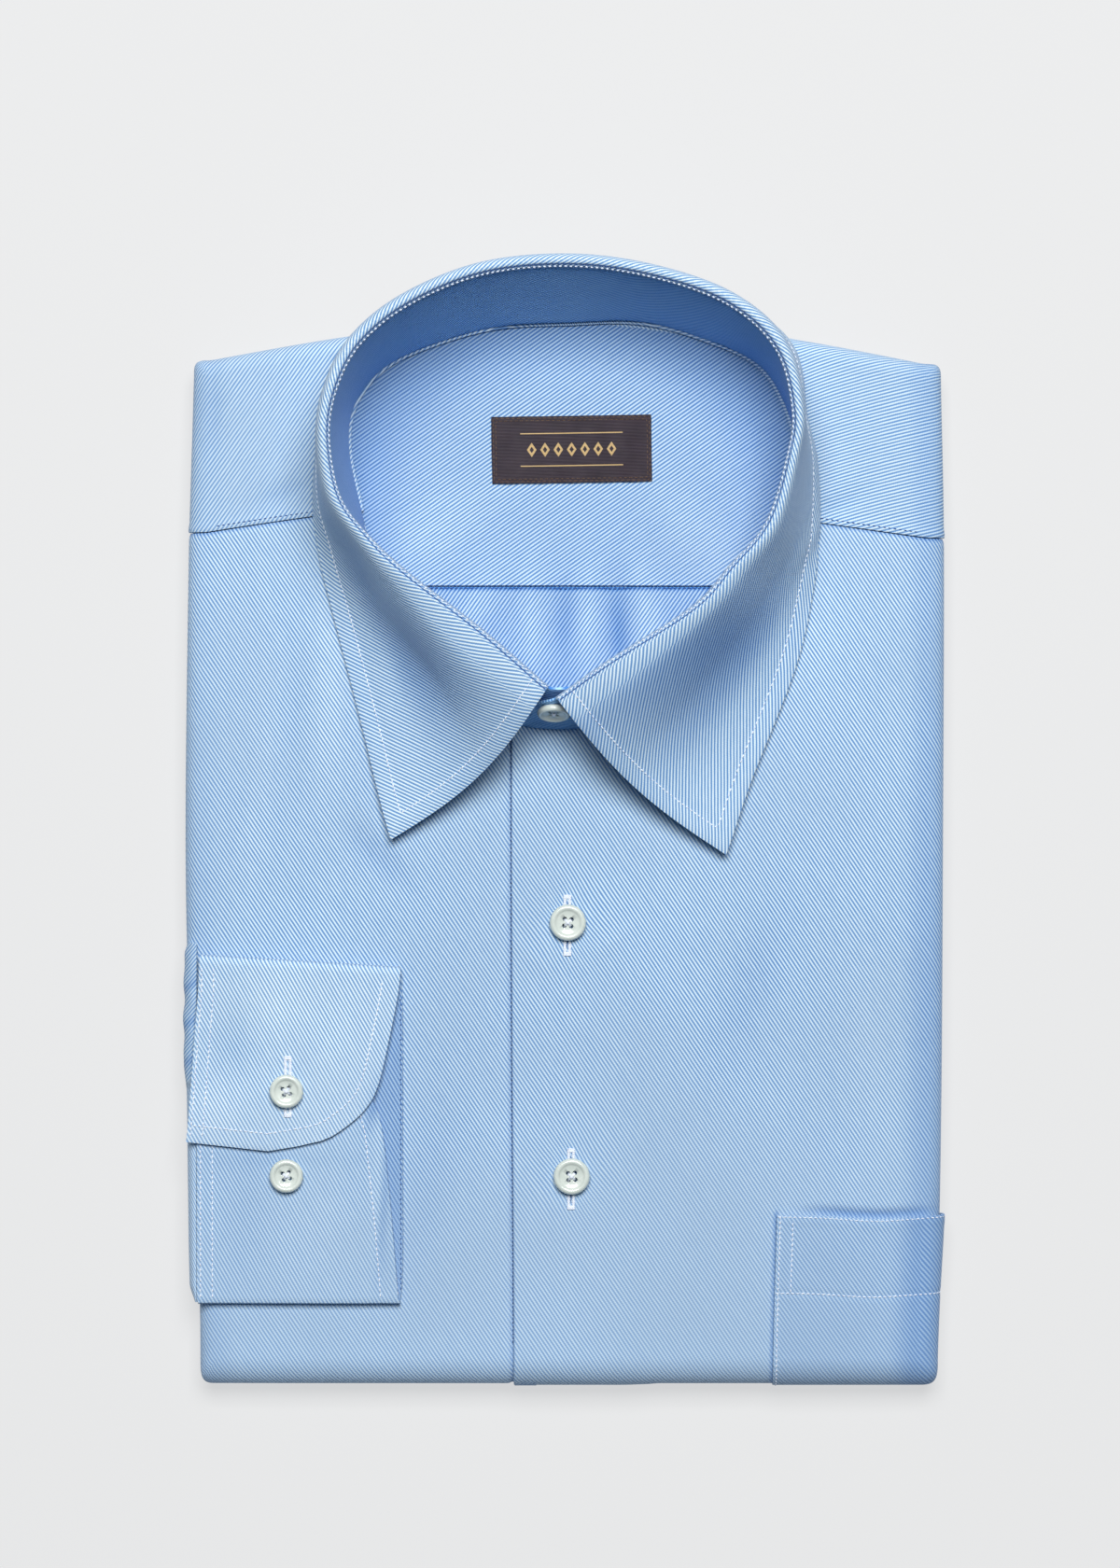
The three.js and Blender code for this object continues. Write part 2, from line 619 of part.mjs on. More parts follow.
// Cuff, a flattened tube with its flap buttoned over its underlap
function cuff() {
  const level = (row, lift) => ({ ...row, lift });
  const halfTurn = steps(cuffFolds.steps, 90, -90);
  const topRadius = (cuffLift.flap - cuffLift.back) / 2;
  const bottomRadius = (cuffLift.under - cuffLift.back) / 2;
  const topFold = halfTurn.map((turn) => ({
    left: cuffFolds.topLeft,
    right: cuffFolds.topRight,
    leftY: cuffTop.left + topRadius * Math.cos(radians(turn)),
    rightY: cuffTop.right + topRadius * Math.cos(radians(turn)),
    lift: cuffLift.back + topRadius * (1 + Math.sin(radians(turn))),
  }));
  const bottomFold = halfTurn.map((turn) => ({
    left: cuffFolds.bottomLeft,
    right: cuffFolds.bottomRight,
    leftY: cuffBottom - bottomRadius * Math.cos(radians(turn)),
    rightY: cuffBottom - bottomRadius * Math.cos(radians(turn)),
    lift: cuffLift.back + bottomRadius * (1 - Math.sin(radians(turn))),
  }));
  const backRun = cuffBackRows.map((y) => ({ ...cuffBack, leftY: y, rightY: y, lift: cuffLift.back }));
  const path = [
    ...cuffFlap.map((row) => level(row, cuffLift.flap)),
    ...topFold,
    ...backRun,
    ...bottomFold,
    ...cuffUnderlap.map((row) => level(row, cuffLift.under)),
  ];
  const middle = path.map((row) => steps(cuffColumns, 0, 1).map((t) => {
    const x = lerp(row.left, row.right, t);
    const y = lerp(row.leftY, row.rightY, t);
    return vec(x, y, bodyTop(Math.max(x, -halfWidth), y) + row.lift);
  }));
  return wall(moved(middle, fused / 2), moved(middle, -fused / 2));
}

// Sleeve, with the pleats that take it into the cuff
function sleeve() {
  const outer = steps(sleeveRows, sleeveEdge[0].y, sleeveEdge.at(-1).y).map((y) => {
    const edge = lookUp(sleeveEdge, 'y', 'x', y);
    const t = (y - pleats.start) / (pleats.end - pleats.start);
    const fade = t > 0 && t < 1 ? Math.sin(Math.PI * t) : 0;
    const ripple = pleats.depth * fade * Math.sin(2 * Math.PI * pleats.count * t);
    return sleeveSection.map(({ part, z }) => vec(lerp(edge + ripple, sleeveInner, part), y, z));
  });
  return wall(outer, moved(outer, -cloth));
}

// Pocket, sewn on the left front and folded round with it
function pocket() {
  const us = [pocketEdge, ...columns.filter((u) => u > pocketEdge), ...rightTurns.slice(0, pocketTurns)];
  const vs = [...tailTurns.slice(-pocketTurns), ...rows.filter((v) => v < pocketMouth), pocketMouth];
  const gape = (u, v) => {
    const near = ((u - pocketGape.x) / pocketGape.wide) ** 2 + ((v - pocketMouth) / pocketGape.long) ** 2;
    return pocketGape.height * Math.exp(-near);
  };
  const face = (out) => gridOf(us, vs, (u, v) => bodyPoint(u, v, out + gape(u, v)));
  return wall(face(ply + pocketSlack), face(seam + pocketSlack));
}

function neckLabel() {
  const turn = radians(label.turn);
  const us = steps(4, -label.wide / 2, label.wide / 2);
  const vs = steps(2, -label.high / 2, label.high / 2);
  const face = (out) => gridOf(us, vs, (a, b) => {
    const x = label.x + a * Math.cos(turn) - b * Math.sin(turn);
    const y = label.y + a * Math.sin(turn) + b * Math.cos(turn);
    return vec(x, y, bodyTop(x, y) - ply - dip(x, y) + out);
  });
  return wall(face(seam + label.thick), face(seam));
}

// A four-hole button with a raised rim, its back at z = 0
function buttonGeometry(radius) {
  const k = radius / button.radius;
  const profile = buttonProfile.map(({ r, z }) => new THREE.Vector2(r * k, z));
  const disc = new THREE.LatheGeometry(profile, button.sides);
  let solid = toManifold(weld(disc.rotateX(Math.PI / 2)));
  for (let i = 0; i < button.holes; i++) {
    const turn = (i + 0.5) * 2 * Math.PI / button.holes;
    const drill = new THREE.CylinderGeometry(button.holeRadius, button.holeRadius, 10, button.holeSides);
    drill.rotateX(Math.PI / 2);
    drill.translate(button.holeCircle * Math.cos(turn), button.holeCircle * Math.sin(turn), 0);
    solid = solid.subtract(toManifold(weld(drill)));
  }
  return toGeometry(solid);
}

// Shared corners merged, so that a lathed or built-in shape becomes one closed solid
function weld(geometry) {
  const source = geometry.attributes.position;
  const found = new Map();
  const points = [];
  const corners = geometry.index ? Array.from(geometry.index.array) : [...Array(source.count).keys()];
  const index = corners.map((n) => {
    const p = vec(source.getX(n), source.getY(n), source.getZ(n));
    const key = p.toArray().map((value) => Math.round(value * 1e4)).join();
    if (!found.has(key)) found.set(key, points.push(p) - 1);
    return found.get(key);
  });
  const triangles = [];
  for (let i = 0; i < index.length; i += 3) {
    const [a, b, c] = index.slice(i, i + 3);
    if (a !== b && b !== c && c !== a) triangles.push([a, b, c]);
  }
  return solidFrom(points, triangles);
}

const shirt = new THREE.Group();

function add(name, geometry, colour, roughness = 0.85) {
  const material = new THREE.MeshStandardMaterial({ color: colour, roughness, metalness: 0 });
  const mesh = new THREE.Mesh(geometry, material);
  mesh.name = name;
  shirt.add(mesh);
  return mesh;
}

add('folded_layers', foldedLayers(), colours.shirting);
add('back', back(), colours.inside);
add('inner_yoke', innerYoke(), colours.inside);
add('right_front', rightFront(), colours.shirting);
add('left_front', leftFront(), colours.shirting);
add('yoke', yoke(), colours.shirting);
add('collar_band', collarBand(), colours.inside);
add('collar_leaf', collarLeaf(), colours.collar);
add('sleeve', sleeve(), colours.shirting);
add('cuff', cuff(), colours.shirting);
add('pocket', pocket(), colours.shirting);
add('label', neckLabel(), colours.label, 0.7);

frontButtons.forEach(({ x, y }, i) => {
  const mesh = add(`front_button_${i + 1}`, buttonGeometry(button.radius), colours.button, 0.3);
  mesh.position.set(x, y, bodyTop(x, y) + ply + seam);
});

cuffButtons.forEach(({ name, x, y, layer }) => {
  const mesh = add(name, buttonGeometry(cuffButtonRadius), colours.button, 0.3);
  mesh.position.set(x, y, bodyTop(x, y) + cuffLift[layer] + fused / 2 + seam);
});

const neckButton = add('neck_button', buttonGeometry(cuffButtonRadius), colours.button, 0.3);
const [sideFoot, sideHead] = bandRail(neckPoint(sections.length - 1), seamPoint(sections.length - 1));
const [tabFoot, tabHead] = bandRail(...tabRails(overTab[0]));
const buttonFoot = sideFoot.clone().lerp(tabFoot, neckButtonAt.along);
const buttonHead = sideHead.clone().lerp(tabHead, neckButtonAt.along);
const alongTab = tabFoot.lerp(tabHead, neckButtonAt.up).sub(sideFoot.lerp(sideHead, neckButtonAt.up));
const tabFace = vec(0, 0, 0).crossVectors(buttonHead.clone().sub(buttonFoot), alongTab).normalize();
neckButton.quaternion.setFromUnitVectors(vec(0, 0, 1), tabFace);
neckButton.position.copy(buttonFoot).lerp(buttonHead, neckButtonAt.up).addScaledVector(tabFace, fused + seam);

export default shirt;
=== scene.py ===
# A dress shirt folded for the shelf, face up on a pale table: cloth, sewing, label and buttons.
# Sizes in the dictionaries are millimetres; meshes are in metres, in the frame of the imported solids.
import math
import random
from functools import lru_cache

import bmesh
import bpy
import numpy as np
from mathutils import Matrix, Vector, noise


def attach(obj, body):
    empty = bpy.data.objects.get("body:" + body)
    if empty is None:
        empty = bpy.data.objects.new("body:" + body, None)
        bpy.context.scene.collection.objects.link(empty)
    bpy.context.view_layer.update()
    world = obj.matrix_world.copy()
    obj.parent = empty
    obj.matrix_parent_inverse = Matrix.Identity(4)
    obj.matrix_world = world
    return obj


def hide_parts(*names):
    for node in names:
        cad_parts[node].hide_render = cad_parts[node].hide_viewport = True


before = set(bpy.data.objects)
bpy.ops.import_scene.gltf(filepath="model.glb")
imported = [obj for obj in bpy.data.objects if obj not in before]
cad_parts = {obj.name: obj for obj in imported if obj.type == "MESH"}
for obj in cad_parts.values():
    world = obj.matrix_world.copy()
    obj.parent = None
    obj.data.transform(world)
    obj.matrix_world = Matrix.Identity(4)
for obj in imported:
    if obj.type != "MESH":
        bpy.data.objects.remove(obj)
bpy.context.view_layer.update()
scene = bpy.context.scene
mm = 0.001
upward = Vector((0, 0, 1))


# camera, table, light
view = {"x": -2.25, "y": 28.5, "height": 1818, "lens": 128.57, "sensor": 36}
studio = {
    "keyPlace": (0.05, 0.98, 2.15), "keySize": (1.4, 1.1), "keyPower": 71,
    "ambient": (0.38, 0.66, 0.95), "ambientStrength": 0.105,
    "floorTone": 0.18, "floorGlow": 0.62,
}


def makeCamera():
    lens = bpy.data.cameras.new("overheadCamera")
    lens.lens = view["lens"]
    lens.sensor_fit = "VERTICAL"
    lens.sensor_height = view["sensor"]
    lens.sensor_width = view["sensor"]
    lens.clip_start, lens.clip_end = 0.1, 20
    camera = bpy.data.objects.new("overheadCamera", lens)
    camera.location = (view["x"] * mm, view["y"] * mm, view["height"] * mm)
    scene.collection.objects.link(camera)
    scene.camera = camera
    scene.view_settings.view_transform = "Standard"


def makeLight():
    lamp = bpy.data.lights.new("softBox", "AREA")
    lamp.shape = "RECTANGLE"
    lamp.size, lamp.size_y = studio["keySize"]
    lamp.energy = studio["keyPower"]
    box = bpy.data.objects.new("softBox", lamp)
    place = Vector(studio["keyPlace"])
    box.location = place
    box.rotation_euler = (Vector((0, 0.02, 0)) - place).to_track_quat("-Z", "Y").to_euler()
    scene.collection.objects.link(box)
    world = bpy.data.worlds.new("paleRoom")
    world.use_nodes = True
    background = world.node_tree.nodes["Background"]
    background.inputs["Color"].default_value = (*studio["ambient"], 1)
    background.inputs["Strength"].default_value = studio["ambientStrength"]
    scene.world = world


# tables and curves
def table(names, *rows):
    return [dict(zip(names.split(), row)) for row in rows]


def clamp(value, low, high):
    return max(low, min(high, value))


def lerp(a, b, t):
    return a + (b - a) * t


def stopsAt(t, *stops):
    # straight runs between (share, value) stops
    for (a, x), (b, y) in zip(stops, stops[1:]):
        if t <= b:
            return lerp(x, y, (t - a) / (b - a))
    return stops[-1][1]


def bump(value, middle, wide, power=2):
    return math.exp(-abs((value - middle) / wide) ** power)


def smooth(value, low, high):
    t = clamp((value - low) / (high - low), 0, 1)
    return t * t * (3 - 2 * t)


def between(rows, column, at):
    # smooth curve through the rows of a table
    last = len(rows) - 1
    i = int(clamp(math.floor(at), 0, last - 1))
    t = at - i
    a, b = rows[i][column], rows[i + 1][column]
    before = rows[max(i - 1, 0)][column]
    after = rows[min(i + 2, last)][column]
    slopeA = (b - before) / (2 if i > 0 else 1)
    slopeB = (after - a) / (2 if i + 2 <= last else 1)
    t2, t3 = t * t, t * t * t
    return a * (2 * t3 - 3 * t2 + 1) + slopeA * (t3 - 2 * t2 + t) + b * (3 * t2 - 2 * t3) + slopeB * (t3 - t2)


def even(low, high, count):
    return [lerp(low, high, k / count) for k in range(count + 1)]


def runAlong(rows, step):
    # length run up at each row
    run = [0.0]
    for near, far in zip(rows, rows[1:]):
        run.append(run[-1] + step(near, far))
    return run


def placeInRun(run, share):
    # place in the rows at a share of their whole length
    wanted = share * run[-1]
    k = 0
    while k < len(run) - 2 and run[k + 1] < wanted:
        k += 1
    return k + (wanted - run[k]) / max(run[k + 1] - run[k], 1e-6)


def lastWhere(test, low, high, halvings=22):
    # furthest from low that still passes the test
    for _ in range(halvings):
        middle = (low + high) / 2
        low, high = (middle, high) if test(middle) else (low, middle)
    return low


def lookUp(rows, key, column, at):
    down = -1 if rows[1][key] < rows[0][key] else 1
    i = 0
    while i < len(rows) - 2 and (at - rows[i + 1][key]) * down > 0:
        i += 1
    span = rows[i + 1][key] - rows[i][key]
    return between(rows, column, i + clamp((at - rows[i][key]) / span, 0, 1))


# folded body
body = {
    "ply": 1.3, "seam": 0.3, "bandSlack": 0.1,
    "halfWidth": 115, "tailFold": -156, "shoulderFold": 165, "foldStart": 90,
    "thickness": 17.6, "crownSide": 1.1, "crownEnd": 0.9,
    "sideRoll": 5.5, "tailRoll": 9, "sideUnder": 7, "tailUnder": 1.6,
    "fullTurn": 150, "cornerPower": 4, "yokeRow": 100,
    "placketEdge": -17.5, "underEdge": 17, "placketFade": 31,
}
sideEdges = table(
    "y left right",
    (-166, -118.2, 117.9), (-140, -118.4, 118.8), (-110, -119.6, 120.2), (-60, -121.7, 120.9),
    (10, -123.0, 121.3), (108, -121.9, 121.6), (166, -120.3, 120.6))
shoulderEdge = table(
    "x y", (-126, 163.2), (-68, 173.2), (-34, 179.5), (0, 182.5), (36, 179.0), (72, 172.1), (126, 161.9))
rises = table(
    "x y long wide heading height",
    (-62, -62, 66, 46, 80, 0.8), (-70, 58, 60, 24, 62, 0.6),
    (84, 40, 80, 26, 96, 0.6), (40, -120, 60, 30, 12, 0.5))
creases = table(
    "x y long wide heading height",
    (87, 118.5, 10, 3.2, 24, -0.6), (-91.5, 122.3, 12, 4, 21, -0.6), (-113, 148, 14, 3.4, 90, -0.5),
    (-77, 55, 34, 6, 90, 0.7), (-87, 56, 26, 4, 88, -0.4), (-61, 6, 15, 5, -45, -0.6),
    (-100, 20, 40, 5, 82, 0.35), (60, -35, 30, 9, 70, -0.35), (98, -60, 36, 7, 96, 0.4),
    (30, 20, 26, 8, -62, 0.3), (-45, -100, 30, 9, 80, -0.3), (14, -22, 9, 2.4, 38, 0.2), (-12, -26, 8, 2.2, 140, 0.18))
ripples = table(
    "x y long wide heading height",
    (-11.6, 80, 16, 4, 90, 0.5), (-0.8, 80, 14, 3, 88, -0.5), (6.8, 80, 15, 3.4, 90, 0.5),
    (16.7, 77, 15, 3.2, 92, -0.85), (26, 80, 16, 4.4, 96, 0.6), (-30, 84, 14, 5, 60, 0.4), (-40, 112, 20, 8, 40, 0.35),
    (40, 110, 22, 8, 130, 0.3))
inside = {"half": 81, "start": 34, "seam": 92, "centre": (1.5, 112), "neckHalf": (66, 60), "dip": 3.2, "dipSlope": 0.75}
yokeSeam = table("x y", (-140, 105.6), (-81, 114.6), (0, 121), (81, 112.5), (140, 104.2))


def foldHeight(folds, x, y, reach=2.6):
    # soft ridges and troughs, added up at a point of the plan; each reaches some widths from its middle
    z = 0.0
    for fold in folds:
        dx, dy = x - fold["x"], y - fold["y"]
        if "turn" not in fold:
            angle = math.radians(fold["heading"])
            fold["turn"] = (math.cos(angle), math.sin(angle))
        c, s = fold["turn"]
        along, across = (dx * c + dy * s) / fold["long"], (dy * c - dx * s) / fold["wide"]
        if abs(along) < reach and abs(across) < reach:
            z += fold["height"] * math.exp(-along * along - across * across)
    return z


def bodyTop(x, y):
    z = body["thickness"] - body["crownSide"] * (x / 120) ** 4 - body["crownEnd"] * (y / 175) ** 4
    return z + foldHeight(rises, x, y) + foldHeight(creases, x, y)


def besideBody(x, y):
    # top of the body, going on level past its side fold
    return bodyTop(max(x, -body["halfWidth"]), y)


def planPoint(u, v):
    edge = lookUp(sideEdges, "y", "left" if u < 0 else "right", v)
    x = u * (abs(edge) - body["sideRoll"]) / body["halfWidth"]
    if v <= body["foldStart"]:
        return x, v
    top = lookUp(shoulderEdge, "x", "y", x) - body["sideRoll"]
    share = (v - body["foldStart"]) / (body["shoulderFold"] - body["foldStart"])
    return x, lerp(body["foldStart"], top, share)


def seamX(u):
    # x of the cloth's column u beside the yoke's seam
    return planPoint(clamp(u, -body["halfWidth"], body["halfWidth"]), body["yokeRow"])[0]


def clothAt(x, y):
    # cloth coordinates of a point of the plan
    v = y
    if y > body["foldStart"]:
        top = lookUp(shoulderEdge, "x", "y", x) - body["sideRoll"]
        share = (y - body["foldStart"]) / (top - body["foldStart"])
        v = lerp(body["foldStart"], body["shoulderFold"], share)
    edge = lookUp(sideEdges, "y", "left" if x < 0 else "right", v)
    return x * body["halfWidth"] / (abs(edge) - body["sideRoll"]), v


def flat(u, v):
    return clamp(u, -body["halfWidth"], body["halfWidth"]), clamp(v, body["tailFold"], body["shoulderFold"])


def bodyPoint(u, v, out=0.0):
    flatU, flatV = flat(u, v)
    x, y = planPoint(flatU, flatV)
    across = abs(u - flatU) / body["sideRoll"]
    endRoll = body["tailRoll"] if v < flatV else body["sideRoll"]
    along = abs(v - flatV) / endRoll
    power = body["cornerPower"]
    turn = max(across, along)
    span = (across ** power + along ** power) ** (1 / power) or 1
    nx = math.copysign(across / span, u)
    ny = math.copysign(along / span, v - flatV)
    under = lerp(body["sideUnder"], body["tailUnder"], ny ** power) if v < flatV else body["sideUnder"]
    half = (bodyTop(x, y) - under) / 2
    endOut = min(out, 0.25 * out + 0.2) if v < flatV else out
    return Vector((
        x + nx * (body["sideRoll"] + out) * math.sin(turn),
        y + ny * (endRoll + endOut) * math.sin(turn),
        under + half + (half + out) * math.cos(turn)))


def bodyCloth(u, v):
    # cloth coordinates in plan, going on round the folds
    flatU, flatV = flat(u, v)
    x, y = planPoint(flatU, flatV)
    return x + u - flatU, y + v - flatV


def wrapSide():
    return body["halfWidth"] + math.radians(body["fullTurn"]) * body["sideRoll"]


def wrapTail():
    return body["tailFold"] - math.radians(body["fullTurn"]) * body["tailRoll"]


def wrapShoulder():
    return body["shoulderFold"] + math.radians(body["fullTurn"]) * body["sideRoll"]


def placketLift(u):
    # the left front's edge lies over the right front, and its fullness dies away to the side
    if u < body["placketEdge"] - body["seam"]:
        return 0
    return body["ply"] * (1 - smooth(u, body["underEdge"], body["placketFade"]))


def fromNeck(x, y):
    # how far out of the neck's oval, 1 at its rim
    centre, half = inside["centre"], inside["neckHalf"]
    return math.hypot((x - centre[0]) / half[0], (y - centre[1]) / half[1])


def dip(x, y):
    return inside["dip"] * smooth(1 - fromNeck(x, y), 0, inside["dipSlope"])


def towardsNeck(p):
    return Vector((inside["centre"][0] - p.x, inside["centre"][1] - p.y, 0)).normalized()


# making sheets and stitches
def wales(a, b, angle):
    # twill runs at this angle in the cloth: u goes across the wales and v along them
    turn = math.radians(angle)
    return a * math.sin(turn) - b * math.cos(turn), a * math.cos(turn) + b * math.sin(turn)


def finishObject(name, bm, material, *cadNodes, slot="shirting"):
    mesh = bpy.data.meshes.new(name)
    bm.to_mesh(mesh)
    bm.free()
    mesh.shade_smooth()
    mesh.materials.append(material)
    piece = bpy.data.objects.new(name, mesh)
    scene.collection.objects.link(piece)
    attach(piece, "root")
    if cadNodes:
        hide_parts(*cadNodes)
    return piece


def writeCloth(bm, uvLayer, laid):
    for face in bm.faces:
        for loop in face.loops:
            u, v = laid[loop.vert]
            loop[uvLayer].uv = (u * mm, v * mm)


def makeSheet(name, cells, place, cloth, thickness, material, *cadNodes, rim=0.22, slot="shirting", paintedShading=None):
    # a grid laid by place(s, t), with its weave laid by cloth(s, t), given a thickness under its face;
    # the shading function given by keyword says how much painted shade, deeper blue, the cloth takes where it lies in a
    # fold; below 0 it gives painted highlight, brighter
    bm = bmesh.new()
    uvLayer = bm.loops.layers.uv.new("clothUV")
    paintedShadingLayer = bm.verts.layers.float.new("recess")
    bmesh.ops.create_grid(bm, x_segments=cells[0], y_segments=cells[1], size=1)
    laid = {}
    for vert in bm.verts:
        s, t = (vert.co.x + 1) / 2, (vert.co.y + 1) / 2
        laid[vert] = cloth(s, t)
        vert.co = place(s, t) * mm
        vert[paintedShadingLayer] = paintedShading(s, t) if paintedShading else 0.0
    writeCloth(bm, uvLayer, laid)
    piece = finishObject(name, bm, material, *cadNodes, slot=slot)
    wall = piece.modifiers.new("thickness", "SOLIDIFY")
    wall.thickness = thickness * mm
    wall.offset = -1
    wall.use_quality_normals = True
    if rim:
        edge = piece.modifiers.new("turnedEdge", "BEVEL")
        edge.width = rim * mm
        edge.segments = 2
        edge.limit_method = "ANGLE"
        edge.angle_limit = math.radians(55)
        edge.use_clamp_overlap = True
    print("made", name, len(piece.data.polygons), "faces")
    return piece


def normalAt(place, s, t, steps=(0.002, 0.002), ends=(1, 1)):
    alongS = place(min(s + steps[0], ends[0]), t) - place(max(s - steps[0], 0), t)
    alongT = place(s, min(t + steps[1], ends[1])) - place(s, max(t - steps[1], 0))
    return alongS.cross(alongT).normalized()


def sewnLine(points, length, gap):
    # ends of each stitch along a line of (place, normal)
    travelled, marks = 0.0, []
    pitch = length + gap
    wanted = gap / 2
    for (a, na), (b, nb) in zip(points, points[1:]):
        step = (b - a).length
        while step > 0 and travelled + step >= wanted:
            share = (wanted - travelled) / step
            marks.append((a.lerp(b, share), na.lerp(nb, share).normalized()))
            wanted += length if len(marks) % 2 else gap
        travelled += step
    return [(marks[i], marks[i + 1]) for i in range(0, len(marks) - 1, 2)]


def stitch(start, end, normal, width, lift, tall=0.8):
    # where a unit ball goes to lie as a stitch from start to end
    middle = (start + end) / 2 + normal * lift
    along = (end - start).normalized()
    side = normal.cross(along).normalized()
    turn = Matrix((along, side, along.cross(side))).transposed().to_4x4()
    size = Matrix.Diagonal(((end - start).length / 2 * mm, width / 2 * mm, width / 2 * tall * mm, 1))
    return Matrix.Translation(middle * mm) @ turn @ size @ Matrix.Rotation(math.pi / 2, 4, "Y")


def addStitches(bm, wheres, batch=24):
    # a few at a time, because the operators slow down on a large mesh
    for first in range(0, len(wheres), batch):
        part = bmesh.new()
        for where in wheres[first:first + batch]:
            bmesh.ops.create_uvsphere(part, u_segments=8, v_segments=5, radius=1, matrix=where)
        mesh = bpy.data.meshes.new("batch")
        part.to_mesh(mesh)
        part.free()
        bm.from_mesh(mesh)
        bpy.data.meshes.remove(mesh)


needle = random.Random(11)


def sew(bm, points, length=1.15, gap=0.5, width=0.46, lift=0.1, loose=0.04):
    wheres = []
    for (start, na), (end, nb) in sewnLine(points, length, gap):
        shake = Vector((needle.uniform(-loose, loose), needle.uniform(-loose, loose), 0))
        wide = width * needle.uniform(0.88, 1.1)
        wheres.append(stitch(start + shake, end - shake, (na + nb).normalized(), wide, lift))
    addStitches(bm, wheres)


def sewPiece(name, thread, *lines, slot="shirting"):
    # lines are (points, how they are stitched)
    bm = bmesh.new()
    for points, how in lines:
        sew(bm, points, **how)
    finishObject(name, bm, thread, slot=slot)


def pathOn(place, params):
    return [(place(s, t), normalAt(place, s, t)) for s, t in params]


# materials
def newMaterial(name):
    material = bpy.data.materials.new(name)
    material.use_nodes = True
    return material, material.node_tree, material.node_tree.nodes["Principled BSDF"]


def addNode(tree, kind, **values):
    new = tree.nodes.new(kind)
    for key, value in values.items():
        setattr(new, key, value)
    return new


def wire(tree, source, target):
    tree.links.new(source, target)


def calc(tree, operation, a, b=None, c=None, clampIt=False):
    new = tree.nodes.new("ShaderNodeMath")
    new.operation = operation
    new.use_clamp = clampIt
    for socket, value in zip(new.inputs, (a, b, c)):
        if value is None:
            continue
        if isinstance(value, (int, float)):
            socket.default_value = value
        else:
            tree.links.new(value, socket)
    return new.outputs[0]


def noiseFrom(tree, where, scale, detail=2, distortion=0, dimensions="2D"):
    new = addNode(tree, "ShaderNodeTexNoise", noise_dimensions=dimensions)
    for key, value in (("Scale", scale), ("Detail", detail), ("Distortion", distortion)):
        new.inputs[key].default_value = value
    wire(tree, where, new.inputs["Vector"])
    return new.outputs["Fac"]


def addRelief(tree, shader, height, distance, strength=1.0):
    new = addNode(tree, "ShaderNodeBump")
    new.inputs["Distance"].default_value = distance
    new.inputs["Strength"].default_value = strength
    wire(tree, height, new.inputs["Height"])
    wire(tree, new.outputs[0], shader.inputs["Normal"])


def mixColour(tree, share, a, b, blend="MIX"):
    new = tree.nodes.new("ShaderNodeMix")
    new.data_type = "RGBA"
    new.blend_type = blend
    for name, value in (("Factor", share), ("A", a), ("B", b)):
        socket = next(s for s in new.inputs if s.name == name and s.type == ("VALUE" if name == "Factor" else "RGBA"))
        if isinstance(value, (int, float)):
            socket.default_value = value
        elif isinstance(value, tuple):
            socket.default_value = (*value, 1)
        else:
            tree.links.new(value, socket)
    return next(s for s in new.outputs if s.type == "RGBA")


def linear(r, g, b):
    # screen values 0-255 as linear light
    return tuple(((c / 255 + 0.055) / 1.055) ** 2.4 for c in (r, g, b))


def newGroup(name, inputs, outputs):
    group = bpy.data.node_groups.new(name, "ShaderNodeTree")
    for label, kind, value in inputs:
        socket = group.interface.new_socket(name=label, in_out="INPUT", socket_type=kind)
        if value is not None:
            socket.default_value = value
    for label, kind in outputs:
        group.interface.new_socket(name=label, in_out="OUTPUT", socket_type=kind)
    return group, group.nodes.new("NodeGroupInput"), group.nodes.new("NodeGroupOutput")


yarnPitch = 0.0007


def makeTwillGroup():
    # wales and the crossing yarns of a twill, from cloth coordinates in metres, x across the wales
    tree, given, out = newGroup(
        "twillWeave",
        [("Cloth", "NodeSocketVector", None), ("Pitch", "NodeSocketFloat", 1.07),
         ("Wander", "NodeSocketFloat", 0.5), ("Yarn", "NodeSocketFloat", 0.35)],
        [("Wale", "NodeSocketFloat"), ("Height", "NodeSocketFloat"), ("Tone", "NodeSocketFloat")])
    cloth = given.outputs["Cloth"]
    parts = addNode(tree, "ShaderNodeSeparateXYZ")
    wire(tree, cloth, parts.inputs[0])
    across = calc(tree, "DIVIDE", calc(tree, "MULTIPLY", parts.outputs["X"], 1000.0), given.outputs["Pitch"])
    slow = noiseFrom(tree, cloth, 90)
    stretched = addNode(tree, "ShaderNodeMapping")
    stretched.inputs["Scale"].default_value = (2.2, 0.35, 1)
    wire(tree, cloth, stretched.inputs["Vector"])
    yarns = noiseFrom(tree, stretched.outputs[0], 420, 3)
    bend = calc(tree, "MULTIPLY", calc(tree, "SUBTRACT", slow, 0.5), given.outputs["Wander"])
    fine = calc(tree, "MULTIPLY", calc(tree, "SUBTRACT", yarns, 0.5), given.outputs["Yarn"])
    phase = calc(tree, "ADD", calc(tree, "ADD", across, bend), fine)
    wave = calc(tree, "SINE", calc(tree, "MULTIPLY", phase, 2 * math.pi))
    wale = calc(tree, "MULTIPLY_ADD", wave, 0.5, 0.5)
    along = calc(tree, "MULTIPLY", parts.outputs["Y"], 2 * math.pi / yarnPitch)
    lean = calc(tree, "MULTIPLY", phase, math.pi)
    crossing = calc(tree, "MULTIPLY_ADD", calc(tree, "SINE", calc(tree, "ADD", along, lean)), 0.5, 0.5)
    wire(tree, calc(tree, "SUBTRACT", wale, calc(tree, "MULTIPLY", crossing, 0.10), clampIt=True), out.inputs["Wale"])
    wire(tree, calc(tree, "MULTIPLY_ADD", crossing, 0.22, wale), out.inputs["Height"])
    wire(tree, noiseFrom(tree, cloth, 14, 3), out.inputs["Tone"])
    return tree


